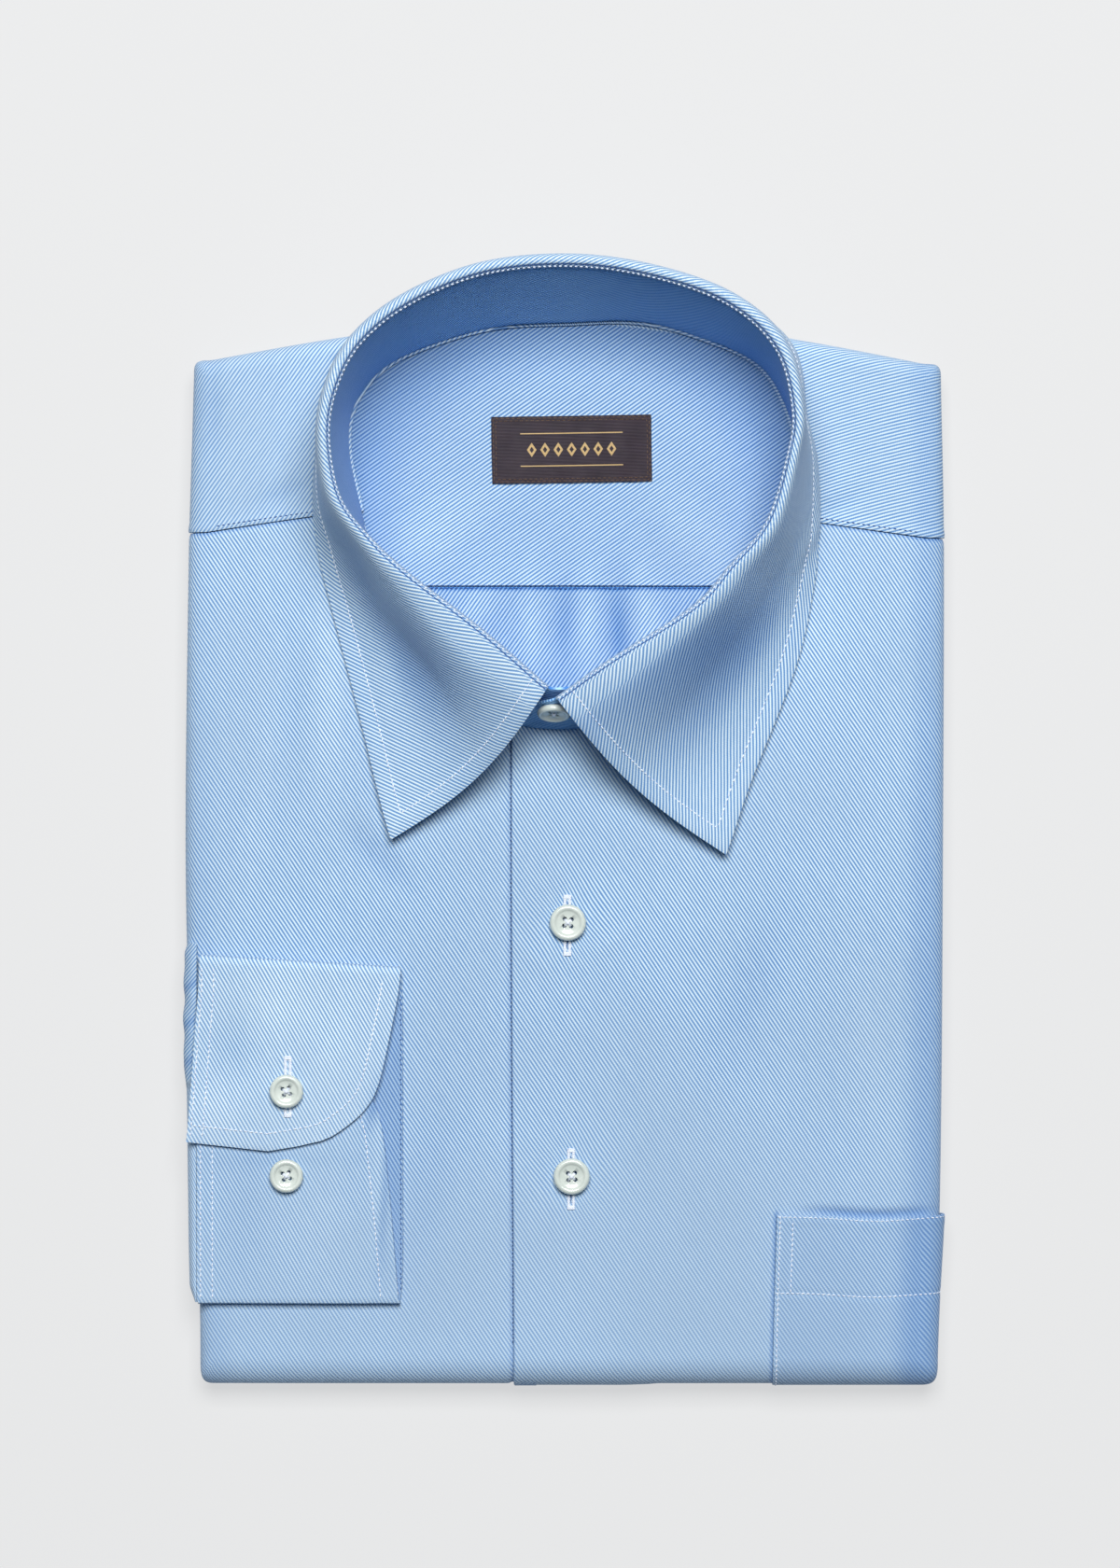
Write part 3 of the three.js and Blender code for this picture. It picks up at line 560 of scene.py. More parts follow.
twillGroup = makeTwillGroup()
blueTwill = {
    "light": linear(212, 231, 241), "dark": linear(96, 141, 193), "pitch": 1.07,
    "wander": 0.12, "yarn": 0.16, "roughness": 0.8, "sheen": 0.1, "bump": 0.00018,
    # a deeper blue copy of the twill's yarns, as painted shade for the band standing in the neck's hollow
    "shadedBandLight": linear(178, 222, 254), "shadedBandDark": linear(76, 136, 208),
    # the two colours on the next line multiply the twill for its painted shade and its painted highlight
    "shade": (0.15, 0.36, 0.67), "crown": (1.45, 1.3, 1.16),
    "tail": -0.16, "chest": -0.02, "tailContrast": 0.55, "cloudContrast": 0.9, "leastContrast": 0.55, "cloud": 0.18,
}


def twillMaterial(name, light=blueTwill["light"], dark=blueTwill["dark"], contrast=1.0):
    material, tree, shader = newMaterial(name)
    shader.inputs["Specular IOR Level"].default_value = 0.22
    shader.inputs["Sheen Weight"].default_value = blueTwill["sheen"]
    shader.inputs["Sheen Roughness"].default_value = 0.5
    clothMap = addNode(tree, "ShaderNodeUVMap", uv_map="clothUV")
    weave = addNode(tree, "ShaderNodeGroup", node_tree=twillGroup)
    for key in ("Pitch", "Wander", "Yarn"):
        weave.inputs[key].default_value = blueTwill[key.lower()]
    wire(tree, clothMap.outputs[0], weave.inputs["Cloth"])
    # the wales stand out less towards the tail
    place = addNode(tree, "ShaderNodeTexCoord")
    apart = addNode(tree, "ShaderNodeSeparateXYZ")
    wire(tree, place.outputs["Object"], apart.inputs[0])
    up = addNode(tree, "ShaderNodeMapRange", interpolation_type="SMOOTHSTEP")
    for key, value in (("From Min", blueTwill["tail"]), ("From Max", blueTwill["chest"]),
                       ("To Min", blueTwill["tailContrast"] * contrast), ("To Max", contrast)):
        up.inputs[key].default_value = value
    wire(tree, apart.outputs["Y"], up.inputs["Value"])
    cloudy = calc(tree, "MULTIPLY_ADD", weave.outputs["Tone"], blueTwill["cloudContrast"], blueTwill["leastContrast"])
    clearness = calc(tree, "MULTIPLY", up.outputs["Result"], cloudy)
    wale = calc(tree, "MULTIPLY_ADD", calc(tree, "SUBTRACT", weave.outputs["Wale"], 0.5), clearness, 0.5)
    yarnColour = mixColour(tree, wale, dark, light)
    tone = calc(tree, "MULTIPLY_ADD", calc(tree, "SUBTRACT", weave.outputs["Tone"], 0.5), blueTwill["cloud"], 1.0)
    # painted shade, deeper blue, where the cloth lies in a fold, and painted highlight, brighter, where it catches the
    # light
    recess = addNode(tree, "ShaderNodeAttribute", attribute_name="recess")
    shade = calc(tree, "MAXIMUM", recess.outputs["Fac"], 0.0)
    crown = calc(tree, "MAXIMUM", calc(tree, "MULTIPLY", recess.outputs["Fac"], -1.0), 0.0)
    shaded = mixColour(tree, shade, yarnColour, mixColour(tree, 1.0, yarnColour, blueTwill["shade"], "MULTIPLY"))
    shaded = mixColour(tree, crown, shaded, mixColour(tree, 1.0, shaded, blueTwill["crown"], "MULTIPLY"))
    toned = addNode(tree, "ShaderNodeVectorMath", operation="SCALE")
    wire(tree, shaded, toned.inputs[0])
    wire(tree, tone, toned.inputs["Scale"])
    wire(tree, toned.outputs[0], shader.inputs["Base Color"])
    rough = calc(tree, "MULTIPLY_ADD", weave.outputs["Wale"], -0.12, blueTwill["roughness"] + 0.06)
    wire(tree, rough, shader.inputs["Roughness"])
    addRelief(tree, shader, weave.outputs["Height"], blueTwill["bump"], 0.6)
    return material


def threadMaterial(name, pale, shade, roughness=0.55):
    material, tree, shader = newMaterial(name)
    shader.inputs["Specular IOR Level"].default_value = 0.3
    place = addNode(tree, "ShaderNodeTexCoord")
    strands = addNode(tree, "ShaderNodeTexWave", wave_type="BANDS", bands_direction="DIAGONAL")
    strands.inputs["Scale"].default_value = 900
    strands.inputs["Distortion"].default_value = 1.5
    wire(tree, place.outputs["Object"], strands.inputs["Vector"])
    wire(tree, mixColour(tree, strands.outputs["Fac"], shade, pale), shader.inputs["Base Color"])
    wire(tree, calc(tree, "MULTIPLY_ADD", strands.outputs["Fac"], 0.1, roughness), shader.inputs["Roughness"])
    addRelief(tree, shader, strands.outputs["Fac"], 0.00005)
    return material


label = {
    "x": 1.5, "y": 136.3, "wide": 51.4, "high": 21.4, "thick": 0.7, "turn": 0.9,
    "ground": linear(40, 29, 36), "shine": linear(74, 56, 64), "gold": linear(214, 180, 122),
    "lozenges": 7, "row": 30.0, "lozengeWide": 3.1, "lozengeHigh": 4.6, "rule": 0.35, "ruleAt": 5.2, "ruleOver": 1.5,
    "hollow": 0.45, "weft": 0.42, "cells": (60, 26), "slack": 0.3, "ripple": 0.16, "edgeDip": 0.12,
}


def satinMaterial():
    material, tree, shader = newMaterial("wovenSatinLabel")
    clothMap = addNode(tree, "ShaderNodeUVMap", uv_map="clothUV")
    parts = addNode(tree, "ShaderNodeSeparateXYZ")
    wire(tree, clothMap.outputs[0], parts.inputs[0])
    x = calc(tree, "MULTIPLY", parts.outputs["X"], 1000.0)
    y = calc(tree, "MULTIPLY", parts.outputs["Y"], 1000.0)
    pitch = label["row"] / label["lozenges"]
    cell = calc(tree, "WRAP", x, pitch / 2, -pitch / 2)
    reach = calc(tree, "ADD",
                  calc(tree, "DIVIDE", calc(tree, "ABSOLUTE", cell), label["lozengeWide"] / 2),
                  calc(tree, "DIVIDE", calc(tree, "ABSOLUTE", y), label["lozengeHigh"] / 2))
    lozenge = calc(tree, "LESS_THAN", reach, 1.0)
    hollow = calc(tree, "GREATER_THAN", reach, label["hollow"])
    inRow = calc(tree, "LESS_THAN", calc(tree, "ABSOLUTE", x), label["row"] / 2)
    motif = calc(tree, "MULTIPLY", calc(tree, "MULTIPLY", lozenge, hollow), inRow)
    fromRule = calc(tree, "ABSOLUTE", calc(tree, "SUBTRACT", calc(tree, "ABSOLUTE", y), label["ruleAt"]))
    rule = calc(tree, "MULTIPLY", calc(tree, "LESS_THAN", fromRule, label["rule"] / 2),
                 calc(tree, "LESS_THAN", calc(tree, "ABSOLUTE", x), label["row"] / 2 + label["ruleOver"]))
    gold = calc(tree, "MAXIMUM", motif, rule)
    weft = calc(tree, "SINE", calc(tree, "MULTIPLY", y, 2 * math.pi / label["weft"]))
    weft = calc(tree, "MULTIPLY_ADD", weft, 0.5, 0.5)
    silk = calc(tree, "MULTIPLY", weft, noiseFrom(tree, clothMap.outputs[0], 160))
    ground = mixColour(tree, silk, label["ground"], label["shine"])
    wire(tree, mixColour(tree, gold, ground, label["gold"]), shader.inputs["Base Color"])
    wire(tree, calc(tree, "MULTIPLY_ADD", weft, 0.15, 0.34), shader.inputs["Roughness"])
    addRelief(tree, shader, calc(tree, "ADD", gold, weft), 0.00012)
    return material


def pearlMaterial():
    material, tree, shader = newMaterial("pearlButton")
    place = addNode(tree, "ShaderNodeTexCoord")
    shells = noiseFrom(tree, place.outputs["Object"], 240, 4, 1.2, "3D")
    wire(tree, mixColour(tree, shells, linear(194, 204, 196), linear(228, 233, 224)), shader.inputs["Base Color"])
    wire(tree, calc(tree, "MULTIPLY_ADD", shells, 0.12, 0.16), shader.inputs["Roughness"])
    shader.inputs["Coat Weight"].default_value = 0.5
    shader.inputs["Coat Roughness"].default_value = 0.08
    return material


def floorMaterial():
    material, _, shader = newMaterial("paleFloor")
    tone, glow = studio["floorTone"], studio["floorGlow"]
    for key, value in (("Base Color", (tone, tone, tone, 1)), ("Roughness", 0.9), ("Specular IOR Level", 0.0),
                       ("Emission Color", (glow, glow, glow, 1)), ("Emission Strength", 1.0)):
        shader.inputs[key].default_value = value
    return material


def makeFloor():
    bm = bmesh.new()
    bmesh.ops.create_grid(bm, x_segments=1, y_segments=1, size=3)
    mesh = bpy.data.meshes.new("floor")
    bm.to_mesh(mesh)
    bm.free()
    mesh.materials.append(floorMaterial())
    floor = bpy.data.objects.new("floor", mesh)
    scene.collection.objects.link(floor)


makeCamera()
makeLight()
makeFloor()
shirting = twillMaterial("blueTwill")
leafShirting = twillMaterial("leafTwill", contrast=1.3)
insideShirting = twillMaterial("insideTwill", contrast=1.2)
# the band's twill is a deeper blue copy: painted shade for the band in the neck's hollow
shadedBandShirting = twillMaterial("bandTwillInShade", light=blueTwill["shadedBandLight"], dark=blueTwill["shadedBandDark"])
whiteThread = threadMaterial("whiteCottonThread", linear(248, 250, 254), linear(214, 224, 242))
# dark blue thread, darker than the cloth as painted shade along seams, slits and edges
shadeThread = threadMaterial("darkThreadAsShade", linear(70, 104, 164), linear(40, 70, 128))
satin = satinMaterial()
pearl = pearlMaterial()
print("camera, light, floor and materials ready")

# collar form
sections = table(
    "x y z heading brow browZ foot footZ reach edgeZ bow lean",
    (-5.8, 59.6, 41, 224, 14, 43.5, 46, 25, 70.5, 22.5, 5, -13),
    (-26, 77, 46, 216, 15, 48, 27, 23, 49.5, 20.4, 1, -18.3),
    (-49.5, 95, 50.5, 207, 8.5, 51, 18, 22, 28.5, 20, 0, -10),
    (-61, 105.5, 52, 192, 6.5, 52, 12.5, 22.5, 19, 19.8, 0, -2.6),
    (-71, 118.5, 53, 179, 5.6, 53, 8.2, 24, 10.8, 19.8, 0, 4.5),
    (-74.6, 137, 54, 174, 5.2, 54, 5, 27, 6, 19.8, 0, 4.6),
    (-72.5, 152, 54, 158, 5.2, 54, 4.8, 27, 6.4, 19.6, 0, 4.6),
    (-65, 166.5, 54, 145, 5.2, 54, 5.2, 27, 7.4, 18.4, 0, 7.5),
    (-49.5, 179, 54.5, 120, 5.2, 54.5, 5.2, 26, 5.4, 15.4, 0, 11),
    (-26, 188.5, 55, 103, 5.2, 55, 3.2, 25, 0.5, 13, 0, 13.5),
    (1.3, 191, 55, 90, 5.2, 55, 2.4, 25, -1.5, 12.5, 0, 14.2),
    (27, 187.5, 55, 77, 5.2, 55, 3.4, 25, 1, 13, 0, 10.8),
    (50.5, 179, 54.5, 60, 5.2, 54.5, 5.2, 26, 5.4, 15.4, 0, 9.3),
    (65.5, 165, 54, 39, 5.4, 54, 6.2, 27, 8.6, 18.4, 0, 4),
    (70.7, 146, 53.5, 8, 4.6, 53.5, 5, 28, 6.6, 19.6, 0, -1),
    (69, 131.5, 53, -4, 4.8, 53, 9, 26, 11.8, 19.8, 0, -4),
    (62.5, 111, 52.5, -13, 6, 52.4, 15, 24, 19, 19.8, 0, -7.8),
    (50.7, 97, 51.5, -20, 8, 51.8, 22, 23, 29.5, 19.9, 0, -12.8),
    (39, 84.5, 50, -27.5, 9, 51, 26, 23, 39, 20.1, 0, -14),
    (12.5, 67.5, 45, -37, 15, 47.5, 38, 24, 59.5, 21, -1, -18.5),
    (-3.7, 56.1, 40, -42.6, 15, 43, 48, 25.5, 74.3, 22.5, -4, -13))
lastSection = len(sections) - 1
leafParts = 4
collar = {
    "rise": 3.6, "over": 3, "top": 5, "leafCells": (240, 74), "seamAt": 0.72, "bandCells": (220, 18),
    "thick": 0.95, "stitchIn": 5.6, "edgePuff": 0.22, "groove": 0.22, "twill": 34, "bandWave": 0.35,
}
underTab = table("baseX baseY x y z", (12, 51.6, 11.5, 57.6, 28), (4, 49.4, 3.5, 59.7, 38))
overTab = table("baseX baseY x y z", (-6, 46.9, -10.5, 54.6, 35.5), (-16, 48.2, -16.5, 51.2, 27))


def seamPoint(at):
    return Vector((between(sections, "x", at), between(sections, "y", at), between(sections, "z", at)))


def neckPoint(at):
    turn = math.radians(between(sections, "heading", at))
    lean = between(sections, "lean", at)
    p = seamPoint(at)
    return Vector((p.x - math.cos(turn) * lean, p.y - math.sin(turn) * lean, 0))


def standHeight(x, y):
    return bodyTop(x, y) + placketLift(x) + body["seam"] + body["bandSlack"]


leafRows = {}


def leafRow(at):
    key = round(at, 5)
    if key not in leafRows:
        row = {column: between(sections, column, at) for column in sections[0]}
        profile = [
            (0, row["z"]), (0, row["z"] + collar["rise"]), (collar["over"], row["z"] + collar["top"]),
            (row["brow"], row["browZ"]), (row["foot"], row["footZ"]), (row["reach"], row["edgeZ"])]
        leafRows[key] = row, profile, math.radians(row["heading"])
    return leafRows[key]


def leafPoint(at, t):
    row, profile, turn = leafRow(at)
    i = int(clamp(math.floor(t), 0, leafParts - 1))
    s = t - i

    def middle(k):
        return [(profile[k][0] + profile[k + 1][0]) / 2, (profile[k][1] + profile[k + 1][1]) / 2]

    start = profile[0] if i == 0 else middle(i)
    end = profile[-1] if i == leafParts - 1 else middle(i + 1)
    pull = profile[i + 1]
    reach, z = (start[k] * (1 - s) ** 2 + 2 * pull[k] * s * (1 - s) + end[k] * s * s for k in (0, 1))
    side = row["bow"] * math.sin(math.pi * clamp(reach / row["reach"], 0, 1))
    return Vector((
        row["x"] + math.cos(turn) * reach - math.sin(turn) * side,
        row["y"] + math.sin(turn) * reach + math.cos(turn) * side, z))


def neckOutline(count=120, inset=0.1):
    points = [neckPoint(at) for at in even(0, lastSection, count)]
    return [p + towardsNeck(p) * inset for p in points]


neckLine = neckOutline()


def neckCrossing(x):
    # lowest y of the neckline at this x
    found = []
    for a, b in zip(neckLine, neckLine[1:] + neckLine[:1]):
        if (a.x - x) * (b.x - x) <= 0 and a.x != b.x:
            found.append(lerp(a.y, b.y, (x - a.x) / (b.x - a.x)))
    return min(found) if found else 1e9


def seamHeight(x):
    return lookUp(yokeSeam, "x", "y", x)


# fronts
fronts = {"thick": 0.7, "rightCells": (104, 180), "leftCells": (134, 180), "twill": -56, "roll": 0.55, "hem": 8,
          "placketThick": 0.5, "ditch": 0.5, "seamDip": 0.5, "pinch": 0.3, "pinchWide": 8.5, "dimple": 0.5,
          "dimpleWide": 7.2111, "mouthDitch": 0.75, "edgePuff": 0.14}
frontButtons = ((0.3, -16), (1.5, -97.5))
pocket = {"edge": 67.6, "mouth": -109.5, "turn": 120, "slack": 0.1, "thick": 0.75, "cells": (56, 74),
          "gapeX": 90, "gapeWide": 26, "gapeLong": 22, "gapeHigh": 1.1, "hem": 25.8, "twill": -54.5,
          "corner": 0.4, "sag": 1.3, "sagX": 100, "sagWide": 15, "hemDip": 0.16, "mouthPuff": 0.12}


frontTops = {}


def frontTop(u):
    # where the front ends at this column: its seam to the yoke, or the neckline
    key = round(u, 3)
    if key not in frontTops:
        x = seamX(u)
        frontTops[key] = clothAt(x, min(seamHeight(x) - body["seam"] / 2, neckCrossing(x)))[1]
    return frontTops[key]


def frontRun(u, t):
    # up the front, closer together at the pocket's mouth and at the seam to the yoke
    top = frontTop(u)
    return stopsAt(t, (0, wrapTail()), (0.2, -115), (0.3, -105), (0.92, top - 7), (1, top))


def seamDip(u, v):
    return fronts["seamDip"] * bump(v, frontTop(u) + 0.2, 1.1) * smooth(abs(u), 60, 66)


def dimple(x, y):
    # the cloth is drawn down a little under each fastened button
    return sum(fronts["dimple"] * bump(math.hypot(x - bx, y - by), 0, fronts["dimpleWide"]) for bx, by in frontButtons)


def pinched(x, y):
    for bx, by in frontButtons:
        pull = fronts["pinch"] * math.exp(-((x - bx) ** 2 + 0.7 * (y - by) ** 2) / fronts["pinchWide"] ** 2)
        x, y = x + (x - bx) * pull, y + (y - by) * 0.4 * pull
    return x, y


frontShadingAmounts = {"rightFold": 0.3, "leftFold": 0.12, "top": 0.1, "crease": 0.35, "seam": 1.3}


def frontPaintedShading(u, v):
    # painted shade towards the side folds, painted light to the top, and painted light on the creases' ridges and
    # painted shade in their troughs
    folds = frontShadingAmounts["rightFold"] * smooth(u, 105, 116) + frontShadingAmounts["leftFold"] * smooth(-u, 108, 116)
    crease = frontShadingAmounts["crease"] * foldHeight(creases, *planPoint(*flat(u, v)))
    return folds - frontShadingAmounts["top"] * smooth(v, -60, 90) - crease


def rightFrontParams(s, t):
    edge = body["placketEdge"]
    u = stopsAt(s, (0, -wrapSide()), (0.7, edge - 4), (0.86, edge + 2), (1, body["underEdge"]))
    return u, frontRun(u, t)


def rightFrontPlace(s, t):
    u, v = rightFrontParams(s, t)
    ditch = fronts["ditch"] * bump(u, body["placketEdge"] - 0.4, 0.9)
    return bodyPoint(u, v, -ditch - seamDip(u, v))


def makeRightFront():
    def cloth(s, t):
        return wales(*bodyCloth(*rightFrontParams(s, t)), fronts["twill"])

    def paintedShading(s, t):
        # painted shade beside the placket's edge and in the seam's dip, with the front's painted light and shade
        u, v = rightFrontParams(s, t)
        return max(0.4 * bump(u, body["placketEdge"] - 0.1, 0.8), seamDip(u, v) * frontShadingAmounts["seam"]) + frontPaintedShading(u, v)
    piece = makeSheet("right_front_cloth", fronts["rightCells"], rightFrontPlace, cloth, fronts["thick"], shirting,
                      "right_front", paintedShading=paintedShading)


def leftFrontParams(s, t):
    # s runs from the hem turned under the placket, round its edge, to the side fold
    length = wrapSide() - body["placketEdge"]
    run = stopsAt(s, (0, -fronts["hem"]), (0.04, -2.8), (0.2, 2.4), (1, length))
    u = body["placketEdge"] + max(run, 0)
    return u, frontRun(u, t), run


def leftFrontLift(u, v):
    x, y = planPoint(*flat(u, v))
    lift = placketLift(u) + fronts["edgePuff"] * bump(u, body["placketEdge"] + 1.6, 1.3) - dimple(x, y)
    return lift - seamDip(u, v) - mouthDitch(u, v)


def mouthDitch(u, v):
    # the front sinks towards the pocket's mouth
    return fronts["mouthDitch"] * bump(v, mouthAt(u) + 1.2, 1.7) * bump(u, 97, 19, 4)


def leftFrontPlace(s, t):
    u, v, run = leftFrontParams(s, t)
    lift = leftFrontLift(u, v)
    radius = fronts["roll"]
    if run >= radius:
        return bodyPoint(u, v, lift)
    turnLength = math.pi * radius
    turned = clamp((radius - run) / turnLength, 0, 1) * math.pi
    back = max(radius - run - turnLength, 0)
    edgeU = body["placketEdge"] + radius - math.sin(turned) * radius + back
    return bodyPoint(edgeU, v, lift - radius + math.cos(turned) * radius)


def makeLeftFront():
    def cloth(s, t):
        u, v, run = leftFrontParams(s, t)
        a, b = pinched(*bodyCloth(u, v))
        return wales(a + min(run, 0), b, fronts["twill"])

    def paintedShading(s, t):
        # painted shade under the placket's turned edge, in the seam's dip, above the pocket's mouth and beside the
        # pocket's edge, with the front's painted light and shade
        u, v, run = leftFrontParams(s, t)
        pocketEdgeShade = 0.6 * bump(u, pocket["edge"] - 0.2, 0.6) * smooth(-v, 108, 110)
        return max(0.25 * (1 - smooth(run, 0.1, 0.8)), seamDip(u, v) * frontShadingAmounts["seam"],
                   mouthDitch(u, v) * 0.75, pocketEdgeShade) + frontPaintedShading(u, v)
    piece = makeSheet("left_front_cloth", fronts["leftCells"], leftFrontPlace, cloth, fronts["placketThick"], shirting,
                      "left_front", rim=0.16, paintedShading=paintedShading)


# yoke and the inside of the back
yoke = {"cells": (190, 44), "thick": 0.7, "twillLeft": 55, "twillRight": 13, "corner": 0.24,
        "innerTwill": 35, "backTwill": 55, "edgePuff": 0.3, "neckTurn": 0.8, "cornerTurn": 0.1,
        "borderX": 114, "bend": 3.0, "bendFrom": 75, "bendOver": 15}


def yokeSpan():
    # where the neckline leaves and meets the seam to the fronts
    above = [at for at in even(0, lastSection, 600) if neckPoint(at).y > seamHeight(neckPoint(at).x)]
    return above[0], above[-1]


yokeAts = yokeSpan()


def yokeBorder(s):
    # up one side fold, along the shoulder fold and down the other side fold
    corner = yoke["corner"]
    side, top = wrapSide(), wrapShoulder()
    if corner <= s <= 1 - corner:
        return lerp(-side, side, (s - corner) / (1 - 2 * corner)), top
    sign = -1 if s < corner else 1
    x = sign * yoke["borderX"]
    start = clothAt(x, seamHeight(x) + body["seam"] / 2)[1]
    return sign * side, lerp(start, top, min(s, 1 - s) / corner)


def yokeParams(s, t):
    at = lerp(yokeAts[0], yokeAts[1], s)
    p = neckPoint(at)
    away = towardsNeck(p)
    start = clothAt(p.x + away.x * yoke["neckTurn"], p.y + away.y * yoke["neckTurn"])
    end = yokeBorder(s)
    u, v = lerp(start[0], end[0], t), lerp(start[1], end[1], t)
    for edgeS, sign in ((0, -1), (1, 1)):
        near = 1 - abs(s - edgeS) / yoke["corner"]
        if near > 0:
            x = sign * abs(seamX(u))
            wanted = clothAt(x, seamHeight(x) + body["seam"] / 2)[1]
            edgeStart = clothAt(*neckSeamCorner(edgeS))
            edgeEnd = yokeBorder(edgeS)
            share = clamp((u - edgeStart[0]) / (edgeEnd[0] - edgeStart[0]), 0, 1)
            straight = lerp(edgeStart[1], edgeEnd[1], share)
            v += (wanted - straight) * near ** 2
    return u, v


def neckSeamCorner(edgeS):
    p = neckPoint(yokeAts[0] if edgeS == 0 else yokeAts[1])
    away = towardsNeck(p)
    return p.x + away.x * yoke["cornerTurn"], p.y + away.y * yoke["cornerTurn"]


def seamPuff(v, seamV):
    # the sewn edge of the yoke stands up a little over the fronts
    return yoke["edgePuff"] * bump(v, seamV + 1.2, 1.4)


def yokePlace(s, t):
    u, v = yokeParams(s, t)
    x = seamX(u)
    return bodyPoint(u, v, seamPuff(v, clothAt(x, seamHeight(x))[1]))


def makeYoke():
    def cloth(s, t):
        u, v = yokeParams(s, t)
        a, b = bodyCloth(u, v)
        left = wales(a, b, yoke["twillLeft"])
        right = wales(a, b, yoke["twillRight"])
        bend = yoke["bend"] * math.exp(-max(a - yoke["bendFrom"], 0) / yoke["bendOver"])
        share = smooth(a, -30, 30)
        return lerp(left[0], right[0] - bend * share, share), lerp(left[1], right[1], share)
    # the yoke carries the fronts' painted light and shade
    piece = makeSheet("yoke_cloth", yoke["cells"], yokePlace, cloth, yoke["thick"], shirting, "yoke",
                      paintedShading=lambda s, t: frontPaintedShading(*yokeParams(s, t)))


def makeInside(name, low, high, angle):
    # closer together beside the seam that the two pieces share
    over = low > inside["seam"]
    stops = ((0, low), (0.14, low + 5), (1, high)) if over else ((0, low), (0.82, high - 5), (1, high))
    # drop is the seam's step; the second number is a painted shade over the whole piece, deeper on the back
    drop, tone = (-0.14, 0.12) if over else (0.6, 0.26)

    def params(s, t):
        return lerp(-inside["half"], inside["half"], s), stopsAt(t, *stops)

    def place(s, t):
        u, v = params(s, t)
        x, y = planPoint(u, v)
        seam = drop * bump(y, inside["seam"], 1.0)
        return bodyPoint(u, v, foldHeight(ripples, x, y) - body["ply"] - dip(x, y) - seam)

    def cloth(s, t):
        return wales(*bodyCloth(*params(s, t)), angle)

    def paintedShading(s, t):
        # painted shade towards the neck's rim and beyond it and in a line along the seam, and painted light and shade
        # on the ripples
        u, v = params(s, t)
        x, y = planPoint(u, v)
        line = 0 if over else 0.9 * bump(y, inside["seam"] - 0.2, 0.9)
        return max(0.4 * smooth(fromNeck(x, y), 0.72, 1.12), line) + tone - 0.5 * foldHeight(ripples, x, y)
    cells = (100, int((high - low) / 1.5) + 8)
    piece = makeSheet(name + "_cloth", cells, place, cloth, 0.7, insideShirting, name, paintedShading=paintedShading)


# collar
def seamAt(at):
    # how far round the fold the leaf is sewn to the band: further in at the back of the neck
    return lerp(1.0, collar["seamAt"], smooth(min(at, lastSection - at), 2, 5))


class Leaf:
    # the turned-down leaf, with the lengths down it worked out once
    def __init__(self):
        self.front = [self.section(at) for at in (0, lastSection)]
        self.fall = {}

    def section(self, at):
        return [leafPoint(at, k / 10) for k in range(10 * leafParts + 1)]

    def params(self, s, t):
        return s * lastSection, stopsAt(t, (0, 0), (0.17, 0.95), (0.27, 1.3), (0.36, 2), (1, leafParts))

    def down(self, at):
        # length down the section at each tenth of its way
        key = round(at, 3)
        if key not in self.fall:
            self.fall[key] = runAlong(self.section(at), lambda near, far: (far - near).length)
        return self.fall[key]

    def downTo(self, at, t):
        lengths = self.down(at)
        k = int(clamp(math.floor(t * 10), 0, 10 * leafParts - 1))
        return lerp(lengths[k], lengths[k + 1], t * 10 - k)

    def fromEdge(self, at, t):
        # distance to the outer edge and to the nearer front edge
        outer = self.down(at)[-1] - self.downTo(at, t)
        if 3.5 < at < lastSection - 3.5:
            return outer, 1e3
        edge = self.front[0 if at < lastSection / 2 else 1]
        p = leafPoint(at, t)
        best = 1e3
        for a, b in zip(edge, edge[1:]):
            run = b - a
            share = clamp((p - a).dot(run) / run.length_squared, 0, 1)
            best = min(best, (p - a - run * share).length)
        return outer, best

    def point(self, at, t):
        p = leafPoint(at, t)
        flatness = smooth(t, 1.0, 1.8)
        relief = -0.25 * bump(t, seamAt(at), 0.1)
        if flatness > 0:
            near = min(self.fromEdge(at, t))
            inset = collar["stitchIn"]
            relief -= flatness * collar["groove"] * bump(near, inset, 0.9)
            relief += flatness * collar["edgePuff"] * bump(near, inset * 0.5, 1.8)
        normal = normalAt(leafPoint, at, t, (0.01, 0.01), (lastSection, leafParts))
        return p + normal * (relief + leafCrease(p))

    def place(self, s, t):
        return self.point(*self.params(s, t))


leafCreases = table(
    "x y long wide heading height",
    (74, 101, 14, 2.4, 57, 0.7), (70, 96, 12, 2.6, 57, -0.6), (80, 104, 10, 2.6, 60, -0.5),
    (-66, 96, 14, 3, 112, -0.4), (-58, 60, 16, 4, 100, 0.35))


def leafCrease(p):
    return foldHeight(leafCreases, p.x, p.y)


leaf = Leaf()


